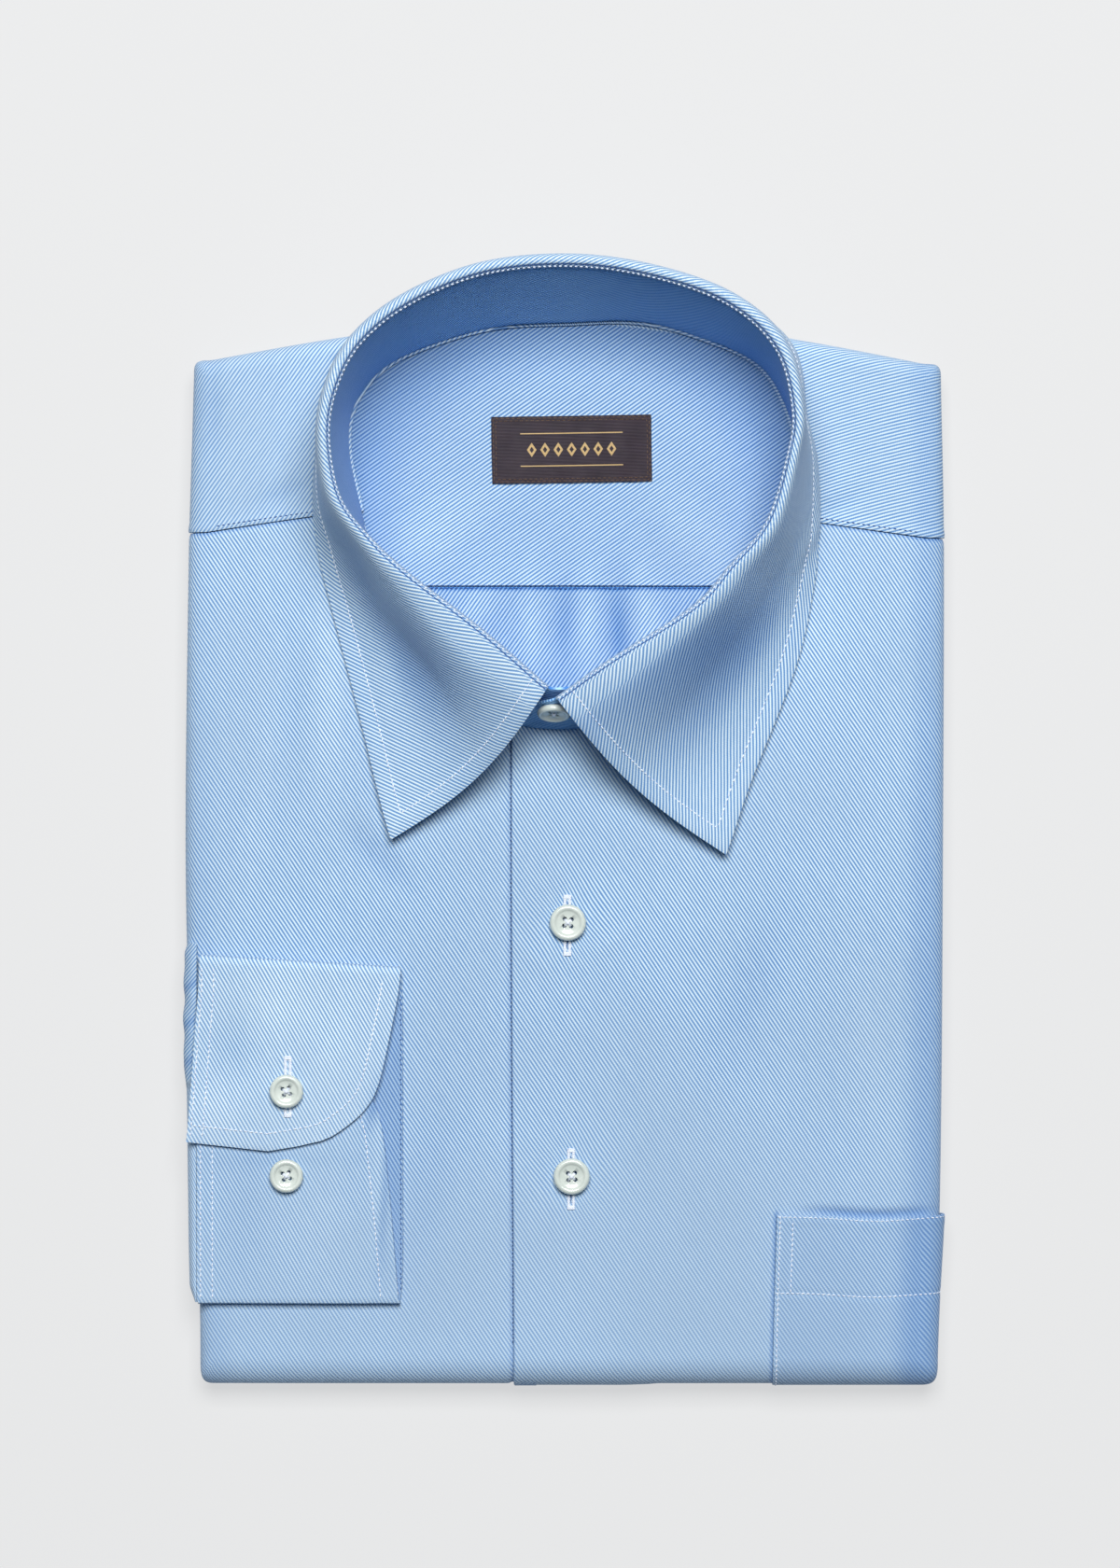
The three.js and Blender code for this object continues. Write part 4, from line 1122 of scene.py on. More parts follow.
def unrollLeaf(alongCount=101, downCount=17, rounds=30):
    # the leaf's cloth laid flat: each small triangle keeps its own shape as nearly as its neighbours allow
    shape = (alongCount, downCount)
    points = np.array([[leafPoint(*leaf.params(i / (alongCount - 1), j / (downCount - 1)))
                        for j in range(downCount)] for i in range(alongCount)])
    down = np.linalg.norm(np.diff(points, axis=1), axis=2).cumsum(axis=1)
    down = np.concatenate([np.zeros((alongCount, 1)), down], 1)
    crest = downCount // 4
    along = np.concatenate([[0], np.linalg.norm(np.diff(points[:, crest], axis=0), axis=1).cumsum()])
    laid = np.stack([np.repeat(along[:, None], downCount, 1), down], 2).reshape(-1, 2)
    points = points.reshape(-1, 3)
    number = np.arange(len(points)).reshape(shape)
    a, b, c, d = (part.ravel() for part in (number[:-1, :-1], number[1:, :-1], number[1:, 1:], number[:-1, 1:]))
    corners = np.concatenate([np.stack([a, b, c], 1), np.stack([a, c, d], 1)])
    first, second = (points[corners[:, k]] - points[corners[:, 0]] for k in (1, 2))
    wide = np.linalg.norm(first, axis=1)
    foot = (first * second).sum(1) / wide
    high = np.sqrt(np.maximum((second * second).sum(1) - foot * foot, 1e-9))
    own = np.zeros((len(corners), 3, 2))
    own[:, 1, 0], own[:, 2, 0], own[:, 2, 1] = wide, foot, high
    matrix = np.zeros((len(points), len(points)))
    sides = []
    for k in range(3):
        p, q = own[:, (k + 1) % 3] - own[:, k], own[:, (k + 2) % 3] - own[:, k]
        weight = 0.5 * (p * q).sum(1) / np.abs(p[:, 0] * q[:, 1] - p[:, 1] * q[:, 0])
        i, j = corners[:, (k + 1) % 3], corners[:, (k + 2) % 3]
        sides.append((i, j, weight, q - p))
        for row, column, sign in ((i, i, 1), (j, j, 1), (i, j, -1), (j, i, -1)):
            np.add.at(matrix, (row, column), sign * weight)
    matrix[0, 0] += 1
    solve = np.linalg.inv(matrix)
    for _ in range(rounds):
        fit = sum(w[:, None, None] * (laid[j] - laid[i])[:, :, None] * edge[:, None, :]
                  for i, j, w, edge in sides)
        turn = np.arctan2(fit[:, 1, 0] - fit[:, 0, 1], fit[:, 0, 0] + fit[:, 1, 1])
        cos, sin = np.cos(turn), np.sin(turn)
        wanted = np.zeros_like(laid)
        for i, j, w, edge in sides:
            a, b = edge[:, 0], edge[:, 1]
            turned = w[:, None] * np.stack([cos * a - sin * b, sin * a + cos * b], 1)
            np.add.at(wanted, j, turned)
            np.add.at(wanted, i, -turned)
        wanted[0] += laid[0]
        laid = solve @ wanted
    laid = laid.reshape(*shape, 2)
    middle = alongCount // 2
    seam = laid[middle + 1, crest] - laid[middle - 1, crest]
    seam /= np.linalg.norm(seam)
    laid = np.stack([laid @ seam, laid @ np.array([-seam[1], seam[0]])], 2)
    # one more row outside each border, so that the curves through it run straight on
    laid = np.concatenate([2 * laid[:1] - laid[1:2], laid, 2 * laid[-1:] - laid[-2:-1]], 0)
    return np.concatenate([2 * laid[:, :1] - laid[:, 1:2], laid, 2 * laid[:, -1:] - laid[:, -2:-1]], 1)


def curveShares(f):
    # how much each of four neighbours counts at f between the middle two
    f2, f3 = f * f, f ** 3
    return np.array([-f + 2 * f2 - f3, 2 - 5 * f2 + 3 * f3, f + 4 * f2 - 3 * f3, f3 - f2]) / 2


leafLaid = unrollLeaf()


def leafCloth(s, t):
    rows, columns = leafLaid.shape[0] - 3, leafLaid.shape[1] - 3
    i, j = min(int(s * rows), rows - 1), min(int(t * columns), columns - 1)
    patch = leafLaid[i:i + 4, j:j + 4]
    along, down = np.einsum("i,j,ijk->k", curveShares(s * rows - i), curveShares(t * columns - j), patch)
    return wales(-along, -down, collar["twill"])


leafShadingAmounts = {"seam": 0.9, "leftValley": (1.4, 0.2), "rightValley": (0.65, 0.1), "rightFall": 0.25, "edge": 0.25,
             "crest": 0.45, "crease": 0.4}


def leafPaintedShading(s, t):
    # painted shade in the valley under the fall of each leaf and along its seam, painted highlight over its crest and
    # along its edge, and painted light and shade on its creases
    at, down = leaf.params(s, t)
    point = leafPoint(at, down)
    right = smooth(s, 0.4, 0.6)
    valley = lerp(lerp(*leafShadingAmounts["leftValley"], smooth(point.y, 40, 92)),
                  lerp(*leafShadingAmounts["rightValley"], smooth(point.y, 70, 104)), right)
    valley *= smooth(min(at, lastSection - at), 0.1, 2) * bump(down, lerp(3.05, 2.95, right), 0.75)
    fall = leafShadingAmounts["rightFall"] * smooth(s, 0.6, 0.72) * bump(down, 2.2, 0.5)
    seam = leafShadingAmounts["seam"] * bump(down, seamAt(at), 0.09)
    leafHighlight = leafShadingAmounts["edge"] * smooth(down, 3.3, 3.7) + leafShadingAmounts["crest"] * bump(down, 1.5, 0.5)
    return seam + valley + fall - leafHighlight - leafShadingAmounts["crease"] * leafCrease(point)


def makeLeaf():
    piece = makeSheet("collar_leaf_cloth", collar["leafCells"], leaf.place, leafCloth, collar["thick"], leafShirting,
                      "collar_leaf", rim=0.3, paintedShading=leafPaintedShading)


def standing(foot, head):
    # the band's foot set on the cloth, and its head under the seam to the leaf
    return Vector((foot.x, foot.y, standHeight(foot.x, foot.y))), Vector((head.x, head.y, head.z - body["seam"]))


def tabEnd(row):
    return standing(Vector((row["baseX"], row["baseY"], 0)), Vector((row["x"], row["y"], row["z"])))


def bandEnd(at):
    return standing(neckPoint(at), seamPoint(at))


def bandRows(count=54):
    ends = [tabEnd(row) for row in underTab]
    ends += [bandEnd(at) for at in even(0, lastSection, count)]
    ends += [tabEnd(row) for row in overTab]
    return table("lowX lowY lowZ x y z", *((*low, *high) for low, high in ends))


bandTable = bandRows()
bandRun = runAlong(bandTable, lambda near, far: math.hypot(far["x"] - near["x"], far["y"] - near["y"]))
bandShadingAmounts = {"left": 0.5, "right": 0.8, "back": -0.45}


def bandPlace(s, t):
    at = placeInRun(bandRun, s)
    low = Vector([between(bandTable, c, at) for c in ("lowX", "lowY", "lowZ")])
    high = Vector([between(bandTable, c, at) for c in ("x", "y", "z")])
    p = low.lerp(high, t)
    wave = collar["bandWave"] * noise.noise(Vector((s * 26, t * 1.4, 2.0))) * math.sin(math.pi * t)
    return p + towardsNeck(p) * wave


def makeBand():
    def cloth(s, t):
        p, q = bandPlace(s, 0), bandPlace(s, 1)
        return wales(s * bandRun[-1], t * (q - p).length, collar["twill"])

    def paintedShading(s, t):
        # painted shade on the band's sides, deeper on the right, and painted light at its back, fading out at its ends
        side = lerp(bandShadingAmounts["left"], bandShadingAmounts["right"], smooth(s, 0.5, 0.7))
        return lerp(side, bandShadingAmounts["back"], bump(s, 0.5, 0.17)) * smooth(min(s, 1 - s), 0.03, 0.1)
    piece = makeSheet("collar_band_cloth", collar["bandCells"], bandPlace, cloth, collar["thick"], shadedBandShirting,
                      "collar_band", paintedShading=paintedShading)


# cuff and sleeve
cuff = {"thick": 0.95, "cells": (70, 190), "back": 0.95, "under": 2.75, "flap": 4.3, "twill": -60, "steps": 5,
        "backShade": 0.4, "flapHighlight": 0.42, "stitchIn": 5.6, "creased": (2.2, 2.7), "stitchTop": -33.5}
cuffFlap = table(
    "left leftY right rightY",
    (-122.3, -86.4, -95.9, -89.3), (-122.1, -84.9, -79.2, -86.1), (-121.7, -81.6, -70.8, -81.4),
    (-121.2, -75.0, -64.0, -75.0), (-120.6, -67.0, -60.2, -67.0), (-119.4, -50.4, -56.4, -50.4),
    (-118.4, -38.0, -54.2, -39.0))
cuffUnderlap = table(
    "left leftY right rightY",
    (-118.9, -136.6, -54.2, -136.6), (-118.9, -110.0, -56.4, -110.0), (-118.9, -83.5, -59.2, -83.5),
    (-118.9, -74.0, -61.9, -74.0), (-118.9, -66.0, -67.0, -66.0))
cuffBack = {"left": -118.3, "right": -52.8, "rows": (-45, -85, -125)}
cuffFolds = table("left leftY right rightY", (-118, -28.4, -53.4, -32.3), (-118.6, -137.4, -53.6, -137.4))


def cuffPath():
    # down the flap, round its top fold, along the back, round the bottom fold and up the underlap
    def folded(fold, upper, way):
        radius = (cuff[upper] - cuff["back"]) / 2
        for k in range(cuff["steps"] + 1):
            turn = math.radians(90 - 180 * k / cuff["steps"])
            out = way * radius * math.cos(turn)
            yield {"left": fold["left"], "right": fold["right"], "leftY": fold["leftY"] + out,
                   "rightY": fold["rightY"] + out, "lift": cuff["back"] + radius * (1 + way * math.sin(turn))}
    back = {"left": cuffBack["left"], "right": cuffBack["right"], "lift": cuff["back"]}
    return [*({**row, "lift": cuff["flap"]} for row in cuffFlap), *folded(cuffFolds[0], "flap", 1),
            *({**back, "leftY": y, "rightY": y} for y in cuffBack["rows"]), *folded(cuffFolds[1], "under", -1),
            *({**row, "lift": cuff["under"]} for row in cuffUnderlap)]


cuffRows = cuffPath()
cuffRun = runAlong(cuffRows, lambda near, far: math.hypot(
    (far["leftY"] + far["rightY"] - near["leftY"] - near["rightY"]) / 2, far["lift"] - near["lift"]))
cuffCreases = table(
    "x y long wide heading height",
    (-110, -55, 12, 8, 80, -0.45), (-92, -40, 20, 8, 80, 0.35), (-112, -78, 12, 8, 20, 0.3),
    (-80, -60, 14, 7, 60, 0.2), (-74, -112, 26, 10, 88, 0.3), (-104, -112, 22, 8, 84, -0.2),
    (-60, -120, 16, 5, 96, -0.2))


@lru_cache(None)
def cuffEnd(t):
    at = placeInRun(cuffRun, t)
    return [between(cuffRows, column, at) for column in ("left", "right", "leftY", "rightY", "lift")]


def cuffPlace(s, t):
    # the middle of the turned band
    left, right, leftY, rightY, lift = cuffEnd(round(t, 6))
    x, y = lerp(left, right, s), lerp(leftY, rightY, s)
    # only the upper layers are creased
    share = smooth(lift, *cuff["creased"])
    return Vector((x, y, besideBody(x, y) + lift + share * foldHeight(cuffCreases, x, y)))


def cuffFace(s, t):
    return cuffPlace(s, t) + cuffNormal(s, t) * cuff["thick"] / 2


def cuffHeight(x, y, lift):
    return besideBody(x, y) + lift + cuff["thick"] / 2 + foldHeight(cuffCreases, x, y)


def cuffNormal(s, t):
    return normalAt(cuffPlace, s, t, (0.02, 0.0015))


cuffShadingPatches = table(
    "x y long wide heading height",
    (-94, -43, 13, 8, 0, 0.22), (-112, -73, 9, 8, 0, 0.2), (-74, -55, 16, 8, 76, 0.14), (-107, -56, 10, 6, 80, -0.24),
    (-85, -62, 12, 4, 60, -0.14), (-84, -108, 26, 9, 86, 0.1), (-88, -92, 30, 3, 0, -0.12),
    (-61.5, -73, 8, 2.6, 76, -0.55), (-58, -96, 26, 1.7, 86, -0.32), (-61, -98, 24, 1.8, 86, 0.2))


def makeCuff():
    def cloth(s, t):
        p = cuffFace(s, t)
        return wales(p.x, p.y, cuff["twill"])

    def paintedShading(s, t):
        # painted shade on the back layer under the flap, painted highlight over the flap, and painted light and shade
        # in soft patches and on the creases
        p = cuffFace(s, t)
        lift = p.z - besideBody(p.x, p.y)
        if lift < 2:
            return cuff["backShade"]
        tone = -foldHeight(cuffShadingPatches, p.x, p.y) - 0.3 * foldHeight(cuffCreases, p.x, p.y)
        return tone - (cuff["flapHighlight"] if lift > 3.6 else 0)
    piece = makeSheet("cuff_cloth", cuff["cells"], cuffFace, cloth, cuff["thick"], shirting, "cuff", rim=0.3, paintedShading=paintedShading)


sleeve = {"top": -22.5, "low": -138, "inner": -119.05, "start": -26, "end": -62, "count": 3, "depth": 0.3,
          "swell": 0.35, "thick": 0.8, "cells": (18, 180), "sleeveShade": 0.1, "pleatShade": 0.4, "cuffEdgeHighlight": -0.15,
          "twill": -52, "cuffTwill": 38, "twillTurn": (-69, -67), "across": 5}
sleeveEdge = table("y x", (-22.5, -122.2), (-26, -123.3), (-62, -123.5), (-70, -122.6), (-100, -122.2), (-133, -121.6),
                   (-138, -119.8))
sleeveSection = table("part z", (1, 18.7), (0.56, 18.4), (0.14, 16.2), (0, 12.4), (0.08, 9.2), (0.32, 7.2))


def sleevePlace(s, t):
    y = lerp(sleeve["top"], sleeve["low"], t)
    edge = lookUp(sleeveEdge, "y", "x", y)
    along = (y - sleeve["start"]) / (sleeve["end"] - sleeve["start"])
    fade = math.sin(math.pi * along) if 0 < along < 1 else 0
    wave = math.sin(2 * math.pi * sleeve["count"] * along)
    ripple = sleeve["depth"] * fade * wave
    at = s * (len(sleeveSection) - 1)
    part, z = between(sleeveSection, "part", at), between(sleeveSection, "z", at)
    return Vector((lerp(edge + ripple, sleeve["inner"], part), y, z + sleeve["swell"] * fade * wave * part))


def makeSleeve():
    def cloth(s, t):
        # the sleeve above, the cuff's own turned edge below
        p = sleevePlace(s, t)
        angle = lerp(sleeve["twill"], sleeve["cuffTwill"], smooth(p.y, *sleeve["twillTurn"]))
        return wales(p.x - s * sleeve["across"], p.y, angle)

    def paintedShading(s, t):
        # painted shade over the sleeve, deeper between its pleats, and painted highlight on the cuff's turned edge
        # below
        y = lerp(sleeve["top"], sleeve["low"], t)
        along = (y - sleeve["start"] + 6 * s) / (sleeve["end"] - sleeve["start"])
        pleatShade = max(0, -math.sin(2 * math.pi * sleeve["count"] * along)) ** 3 if 0 < along < 1 else 0
        return lerp(sleeve["cuffEdgeHighlight"], sleeve["sleeveShade"] + sleeve["pleatShade"] * pleatShade, smooth(y, -70, -64))
    piece = makeSheet("sleeve_cloth", sleeve["cells"], sleevePlace, cloth, sleeve["thick"], shirting, "sleeve",
                      paintedShading=paintedShading)


# pocket
def mouthAt(u):
    # the mouth sags between its sewn corner and the side fold
    return pocket["mouth"] - pocket["corner"] - pocket["sag"] * bump(u, pocket["sagX"], pocket["sagWide"])


def pocketParams(s, t):
    turn = math.radians(pocket["turn"])
    side = body["halfWidth"] + turn * body["sideRoll"]
    tail = body["tailFold"] - turn * body["tailRoll"]
    u = lerp(pocket["edge"], side, s)
    return u, lerp(tail, mouthAt(u), t)


def pocketPlace(s, t):
    u, v = pocketParams(s, t)
    gape = pocket["gapeHigh"] * bump(u, pocket["gapeX"], pocket["gapeWide"])
    gape *= bump(v, pocket["mouth"], pocket["gapeLong"])
    hemDip = pocket["hemDip"] * bump(v, mouthAt(u) + 0.6 - pocket["hem"], 0.9)
    mouthPuff = pocket["mouthPuff"] * bump(v, mouthAt(u) - 2, 1.2)
    return bodyPoint(u, v, body["ply"] + pocket["slack"] + gape - hemDip + mouthPuff)


def makePocket():
    def cloth(s, t):
        return wales(*bodyCloth(*pocketParams(s, t)), pocket["twill"])

    def paintedShading(s, t):
        # painted shade over the pocket, deeper towards the side fold, with painted light along its sewn edge
        return 0.12 + 0.35 * smooth(pocketParams(s, t)[0], 104, 114) - 0.1 * (1 - smooth(s, 0, 0.03))
    piece = makeSheet("pocket_cloth", pocket["cells"], pocketPlace, cloth, pocket["thick"], shirting, "pocket",
                      rim=0.25, paintedShading=paintedShading)


# label
def labelPlace(s, t):
    turn = math.radians(label["turn"])
    a, b = (s - 0.5) * label["wide"], (t - 0.5) * label["high"]
    x = label["x"] + a * math.cos(turn) - b * math.sin(turn)
    y = label["y"] + a * math.sin(turn) + b * math.cos(turn)
    ripple = label["ripple"] * math.sin(a * 0.62 + b * 0.12) * math.sin(b * 0.25 + 1.2)
    fromRim = min(label["wide"] / 2 - abs(a), label["high"] / 2 - abs(b))
    lift = label["slack"] + label["thick"] + ripple - label["edgeDip"] * bump(fromRim, 1.1, 0.5)
    return Vector((x, y, bodyTop(x, y) - body["ply"] - dip(x, y) + lift))


def makeLabel():
    def cloth(s, t):
        return (s - 0.5) * label["wide"], (t - 0.5) * label["high"]
    piece = makeSheet("label_cloth", label["cells"], labelPlace, cloth, label["thick"], satin, "label", rim=0.2,
                      slot="label")


# hidden layers
layers = {"cells": (100, 150), "sideRings": (
    (1.3, 8.6), (1.9, 7.9), (3.6, 7.4), (4.4, 6.6), (4.2, 5.7), (3.0, 5.1), (3.5, 4.6), (4.7, 4.0),
    (4.5, 3.2), (3.1, 2.8), (3.4, 2.3), (4.6, 1.7), (4.4, 0.8), (3.2, 0.2), (2.4, 0.05)),
    "tailRings": (
    (3.0, 3.2), (3.2, 2.9), (3.1, 2.6), (2.6, 2.4), (2.9, 2.1), (3.0, 1.8), (2.8, 1.5), (2.4, 1.3),
    (2.7, 1.1), (2.8, 0.9), (2.6, 0.7), (2.3, 0.5), (2.4, 0.3), (2.2, 0.15), (2.0, 0.05)), "wander": 0.35}


def layersParams(s, t):
    return lerp(-wrapSide(), wrapSide(), s), lerp(wrapTail(), wrapShoulder(), t)


def layersTop(s, t):
    u, v = layersParams(s, t)
    out = -body["ply"]
    if abs(u) <= inside["half"] + 2 and inside["start"] - 2 <= v <= body["shoulderFold"]:
        x, y = planPoint(*flat(u, v))
        fadeU = 1 - smooth(abs(u), inside["half"] - 1, inside["half"] + 2)
        fadeV = smooth(v, inside["start"] - 2, inside["start"] + 1)
        out -= (body["ply"] + dip(x, y)) * fadeU * fadeV
    return bodyPoint(u, v, out)


def layersRing(u, v, k):
    flatU, flatV = flat(u, v)
    x, y = planPoint(flatU, flatV)
    across = abs(u - flatU)
    along = abs(v - flatV) * (body["sideRoll"] / body["tailRoll"] if v < flatV else 1)
    power = body["cornerPower"]
    span = (across ** power + along ** power) ** (1 / power) or 1
    tail = (along / span) ** power if v < flatV else 0
    side, end = layers["sideRings"][k], layers["tailRings"][k]
    out = lerp(side[0], end[0], tail)
    z = lerp(side[1], end[1], tail)
    swell = noise.noise(Vector((x * 0.022, y * 0.022, k * 0.37 + 4)))
    if 1 < k < len(layers["sideRings"]) - 2:
        out += layers["wander"] * swell * (1 - 0.5 * tail)
    return Vector((x + math.copysign(across / span, u) * out, y + math.copysign(along / span, v - flatV) * out, z))


def underside(u, v):
    # the panels and sleeves folded behind, with the tail folded up over them
    x, y = planPoint(*flat(u, v))
    tailFlap = 1 - smooth(y, -28, -22)
    leftPanel = smooth(-x, 20 + 0.12 * (y - 40), 23 + 0.12 * (y - 40))
    rightPanel = smooth(x, 32 - 0.1 * (y - 40), 35 - 0.1 * (y - 40))
    soft = 0.12 * noise.noise(Vector((x * 0.03, y * 0.05, 9)))
    edge = min(body["halfWidth"] - abs(u), v - body["tailFold"], body["shoulderFold"] - v)
    inner = smooth(edge, -6, 12)
    recess = 1.5 - 0.75 * max(leftPanel, 0) - 0.75 * rightPanel
    return max(0.0, inner * (recess * (1 - tailFlap) + soft)) + 0.03


def makeLayers():
    bm = bmesh.new()
    uvLayer = bm.loops.layers.uv.new("clothUV")
    params = {}
    bmesh.ops.create_grid(bm, x_segments=layers["cells"][0], y_segments=layers["cells"][1], size=1)
    laid = {}
    for vert in bm.verts:
        s, t = (vert.co.x + 1) / 2, (vert.co.y + 1) / 2
        params[vert] = layersParams(s, t)
        laid[vert] = bodyCloth(*params[vert])
        vert.co = layersTop(s, t) * mm
    rim = [edge for edge in bm.edges if edge.is_boundary]
    for k in range(len(layers["sideRings"])):
        # the edge's next crease: each new corner goes on from the one it grew out of
        before = {vert for edge in rim for vert in edge.verts}
        grown = bmesh.ops.extrude_edge_only(bm, edges=rim)["geom"]
        grown = [item for item in grown if isinstance(item, bmesh.types.BMVert)]
        source = {vert: next(edge.other_vert(vert) for edge in vert.link_edges if edge.other_vert(vert) in before)
                  for vert in grown}
        for vert in grown:
            u, v = params[vert] = params[source[vert]]
            vert.co = layersRing(u, v, k) * mm
            a, b = laid[source[vert]]
            step = (vert.co - source[vert].co).length / mm
            flatU, flatV = flat(u, v)
            laid[vert] = (a + math.copysign(step, u) * (u != flatU), b + math.copysign(step, v) * (v != flatV))
        rim = [edge for edge in bm.edges if edge.is_boundary]
    # the underside: a second grid, its border on the last ring
    low = bmesh.ops.create_grid(bm, x_segments=layers["cells"][0], y_segments=layers["cells"][1], size=1)["verts"]
    lastRing = len(layers["sideRings"]) - 1
    for vert in low:
        s, t = (vert.co.x + 1) / 2, (vert.co.y + 1) / 2
        u, v = layersParams(s, t)
        flatU, flatV = flat(u, v)
        laid[vert] = (bodyCloth(u, v)[0], -bodyCloth(u, v)[1])
        p = layersRing(u, v, lastRing)
        if min(s, 1 - s, t, 1 - t) > 1e-4:
            x, y = planPoint(flatU, flatV)
            share = max(abs(u - flatU) / (wrapSide() - body["halfWidth"]),
                        (v - flatV) / (wrapShoulder() - body["shoulderFold"]),
                        (flatV - v) / (body["tailFold"] - wrapTail()))
            p = Vector((lerp(x, p.x, share), lerp(y, p.y, share), underside(u, v)))
        vert.co = p * mm
    bmesh.ops.reverse_faces(bm, faces=list({face for vert in low for face in vert.link_faces}))
    writeCloth(bm, uvLayer, {vert: wales(*at, fronts["twill"]) for vert, at in laid.items()})
    bmesh.ops.remove_doubles(bm, verts=bm.verts, dist=0.00001)
    bmesh.ops.recalc_face_normals(bm, faces=bm.faces)
    piece = finishObject("folded_layers_cloth", bm, shirting, "folded_layers")
    print("made", piece.name, len(piece.data.polygons), "faces")


# buttons
button = {
    "radius": 5.85, "holeRadius": 0.72, "holeCircle": 1.55, "sides": 56,
    "profile": ((0, 0.05), (4.2, 0.05), (5.3, 0.4), (5.8, 1.1), (5.85, 1.5), (5.6, 2.1), (5.15, 2.42),
                (4.7, 2.5), (4.2, 2.35), (3.9, 2.02), (3.5, 1.82), (2.0, 1.7), (0, 1.68)),
    "cuffRadius": 5.4, "thread": 0.34, "strands": (-0.28, 0.0, 0.28), "threadLow": 1.15, "threadHigh": 2.3,
    "alongTab": 0.35, "upTab": 0.75, "shank": 1.0, "cuffTurn": 12,
}
holeTurns = [math.radians(45 + 90 * k) for k in range(4)]


def buttonDisc(scale):
    bm = bmesh.new()
    verts = [bm.verts.new((r * scale * mm, 0, z * mm)) for r, z in button["profile"]]
    for a, b in zip(verts, verts[1:]):
        bm.edges.new((a, b))
    bmesh.ops.spin(bm, geom=list(bm.verts) + list(bm.edges), cent=(0, 0, 0), axis=(0, 0, 1),
                   angle=2 * math.pi, steps=button["sides"], use_merge=True, use_duplicate=False)
    bmesh.ops.remove_doubles(bm, verts=bm.verts, dist=0.000002)
    bmesh.ops.recalc_face_normals(bm, faces=bm.faces)
    return bm


def drilled(bm, scale):
    # four holes, cut with cylinders and applied
    mesh = bpy.data.meshes.new("disc")
    bm.to_mesh(mesh)
    bm.free()
    disc = bpy.data.objects.new("disc", mesh)
    cutter = bmesh.new()
    reach, radius = (button[key] * scale * mm for key in ("holeCircle", "holeRadius"))
    for turn in holeTurns:
        place = Matrix.Translation((reach * math.cos(turn), reach * math.sin(turn), 1.2 * mm))
        bmesh.ops.create_cone(cutter, cap_ends=True, segments=14, radius1=radius, radius2=radius, depth=8 * mm,
                              matrix=place)
    cutMesh = bpy.data.meshes.new("drill")
    cutter.to_mesh(cutMesh)
    cutter.free()
    drill = bpy.data.objects.new("drill", cutMesh)
    for item in (disc, drill):
        scene.collection.objects.link(item)
    cut = disc.modifiers.new("holes", "BOOLEAN")
    cut.operation = "DIFFERENCE"
    cut.solver = "EXACT"
    cut.object = drill
    evaluated = disc.evaluated_get(bpy.context.evaluated_depsgraph_get())
    result = bmesh.new()
    result.from_mesh(evaluated.to_mesh())
    evaluated.to_mesh_clear()
    bpy.data.objects.remove(disc)
    bpy.data.objects.remove(drill)
    bpy.data.meshes.remove(mesh)
    bpy.data.meshes.remove(cutMesh)
    return result


def makeButton(name, node, radius, place, turn=0.0):
    scale = radius / button["radius"]
    where = place @ Matrix.Rotation(math.radians(turn), 4, "Z")
    bm = drilled(buttonDisc(scale), scale)
    bmesh.ops.transform(bm, matrix=where, verts=bm.verts)
    finishObject(name, bm, pearl, node, slot="button")
    # thread through the holes: two crossing pairs, and the shank under the button
    bm = bmesh.new()
    reach = button["holeCircle"] * scale
    for a in holeTurns:
        for side in button["strands"]:
            across = Vector((-math.sin(a), math.cos(a), 0)) * side
            start = Vector((reach * math.cos(a), reach * math.sin(a), button["threadLow"])) + across
            end = Vector((0, 0, button["threadHigh"])) + across * 0.7
            addStitches(bm, [stitch(start, end, upward, button["thread"], 0)])
    bmesh.ops.create_uvsphere(bm, u_segments=10, v_segments=6, radius=0.55 * mm,
                              matrix=Matrix.Translation((0, 0, 2.15 * mm)) @ Matrix.Diagonal((1.15, 1.15, 0.5, 1)))
    bmesh.ops.create_cone(bm, cap_ends=True, segments=12, radius1=1.6 * mm, radius2=1.3 * mm, depth=0.5 * mm,
                          matrix=Matrix.Translation((0, 0, -0.1 * mm)))
    bmesh.ops.transform(bm, matrix=where, verts=bm.verts)
    finishObject(name + "_thread", bm, whiteThread)
    print("made", name)


def onBody(x, y, lift):
    return Matrix.Translation(Vector((x, y, bodyTop(x, y) + lift)) * mm)


cuffButtons = (("cuff_button_flap", -89.9, -70, "flap"), ("cuff_button_spare", -90, -97.2, "under"))


def makeButtons():
    for k, (x, y) in enumerate(frontButtons):
        name = f"front_button_{k + 1}"
        makeButton(name + "_pearl", name, button["radius"], onBody(x, y, body["ply"] + body["seam"]), 8 * k - 4)
    for name, x, y, layer in cuffButtons:
        place = onBody(x, y, cuff[layer] + 0.5 + body["seam"])
        makeButton(name + "_pearl", name, button["cuffRadius"], place, button["cuffTurn"])
    # the neck button, on the tab of the band between its end and the leaf's
    foot, head = bandEnd(lastSection)
    tabFoot, tabHead = tabEnd(overTab[0])
    along, up = button["alongTab"], button["upTab"]
    buttonFoot, buttonHead = foot.lerp(tabFoot, along), head.lerp(tabHead, along)
    alongTab = tabFoot.lerp(tabHead, up) - foot.lerp(head, up)
    face = (buttonHead - buttonFoot).cross(alongTab).normalized()
    p = buttonFoot.lerp(buttonHead, up) + face * (button["shank"] + body["seam"])
    place = Matrix.Translation(p * mm) @ face.to_track_quat("Z", "Y").to_matrix().to_4x4()
    makeButton("neck_button_pearl", "neck_button", button["cuffRadius"], place)


# sewing
holes = {"long": 19.0, "wide": 2.7, "pitch": 0.42, "width": 0.56, "slit": 0.5, "bars": 3, "barPitch": 0.4}


def onFront(x, y):
    u, v = clothAt(x, y)
    return bodyPoint(u, v, leftFrontLift(u, v))


def onCuffFlap(x, y):
    return Vector((x, y, bodyTop(x, y) + cuff["flap"] + 0.5))


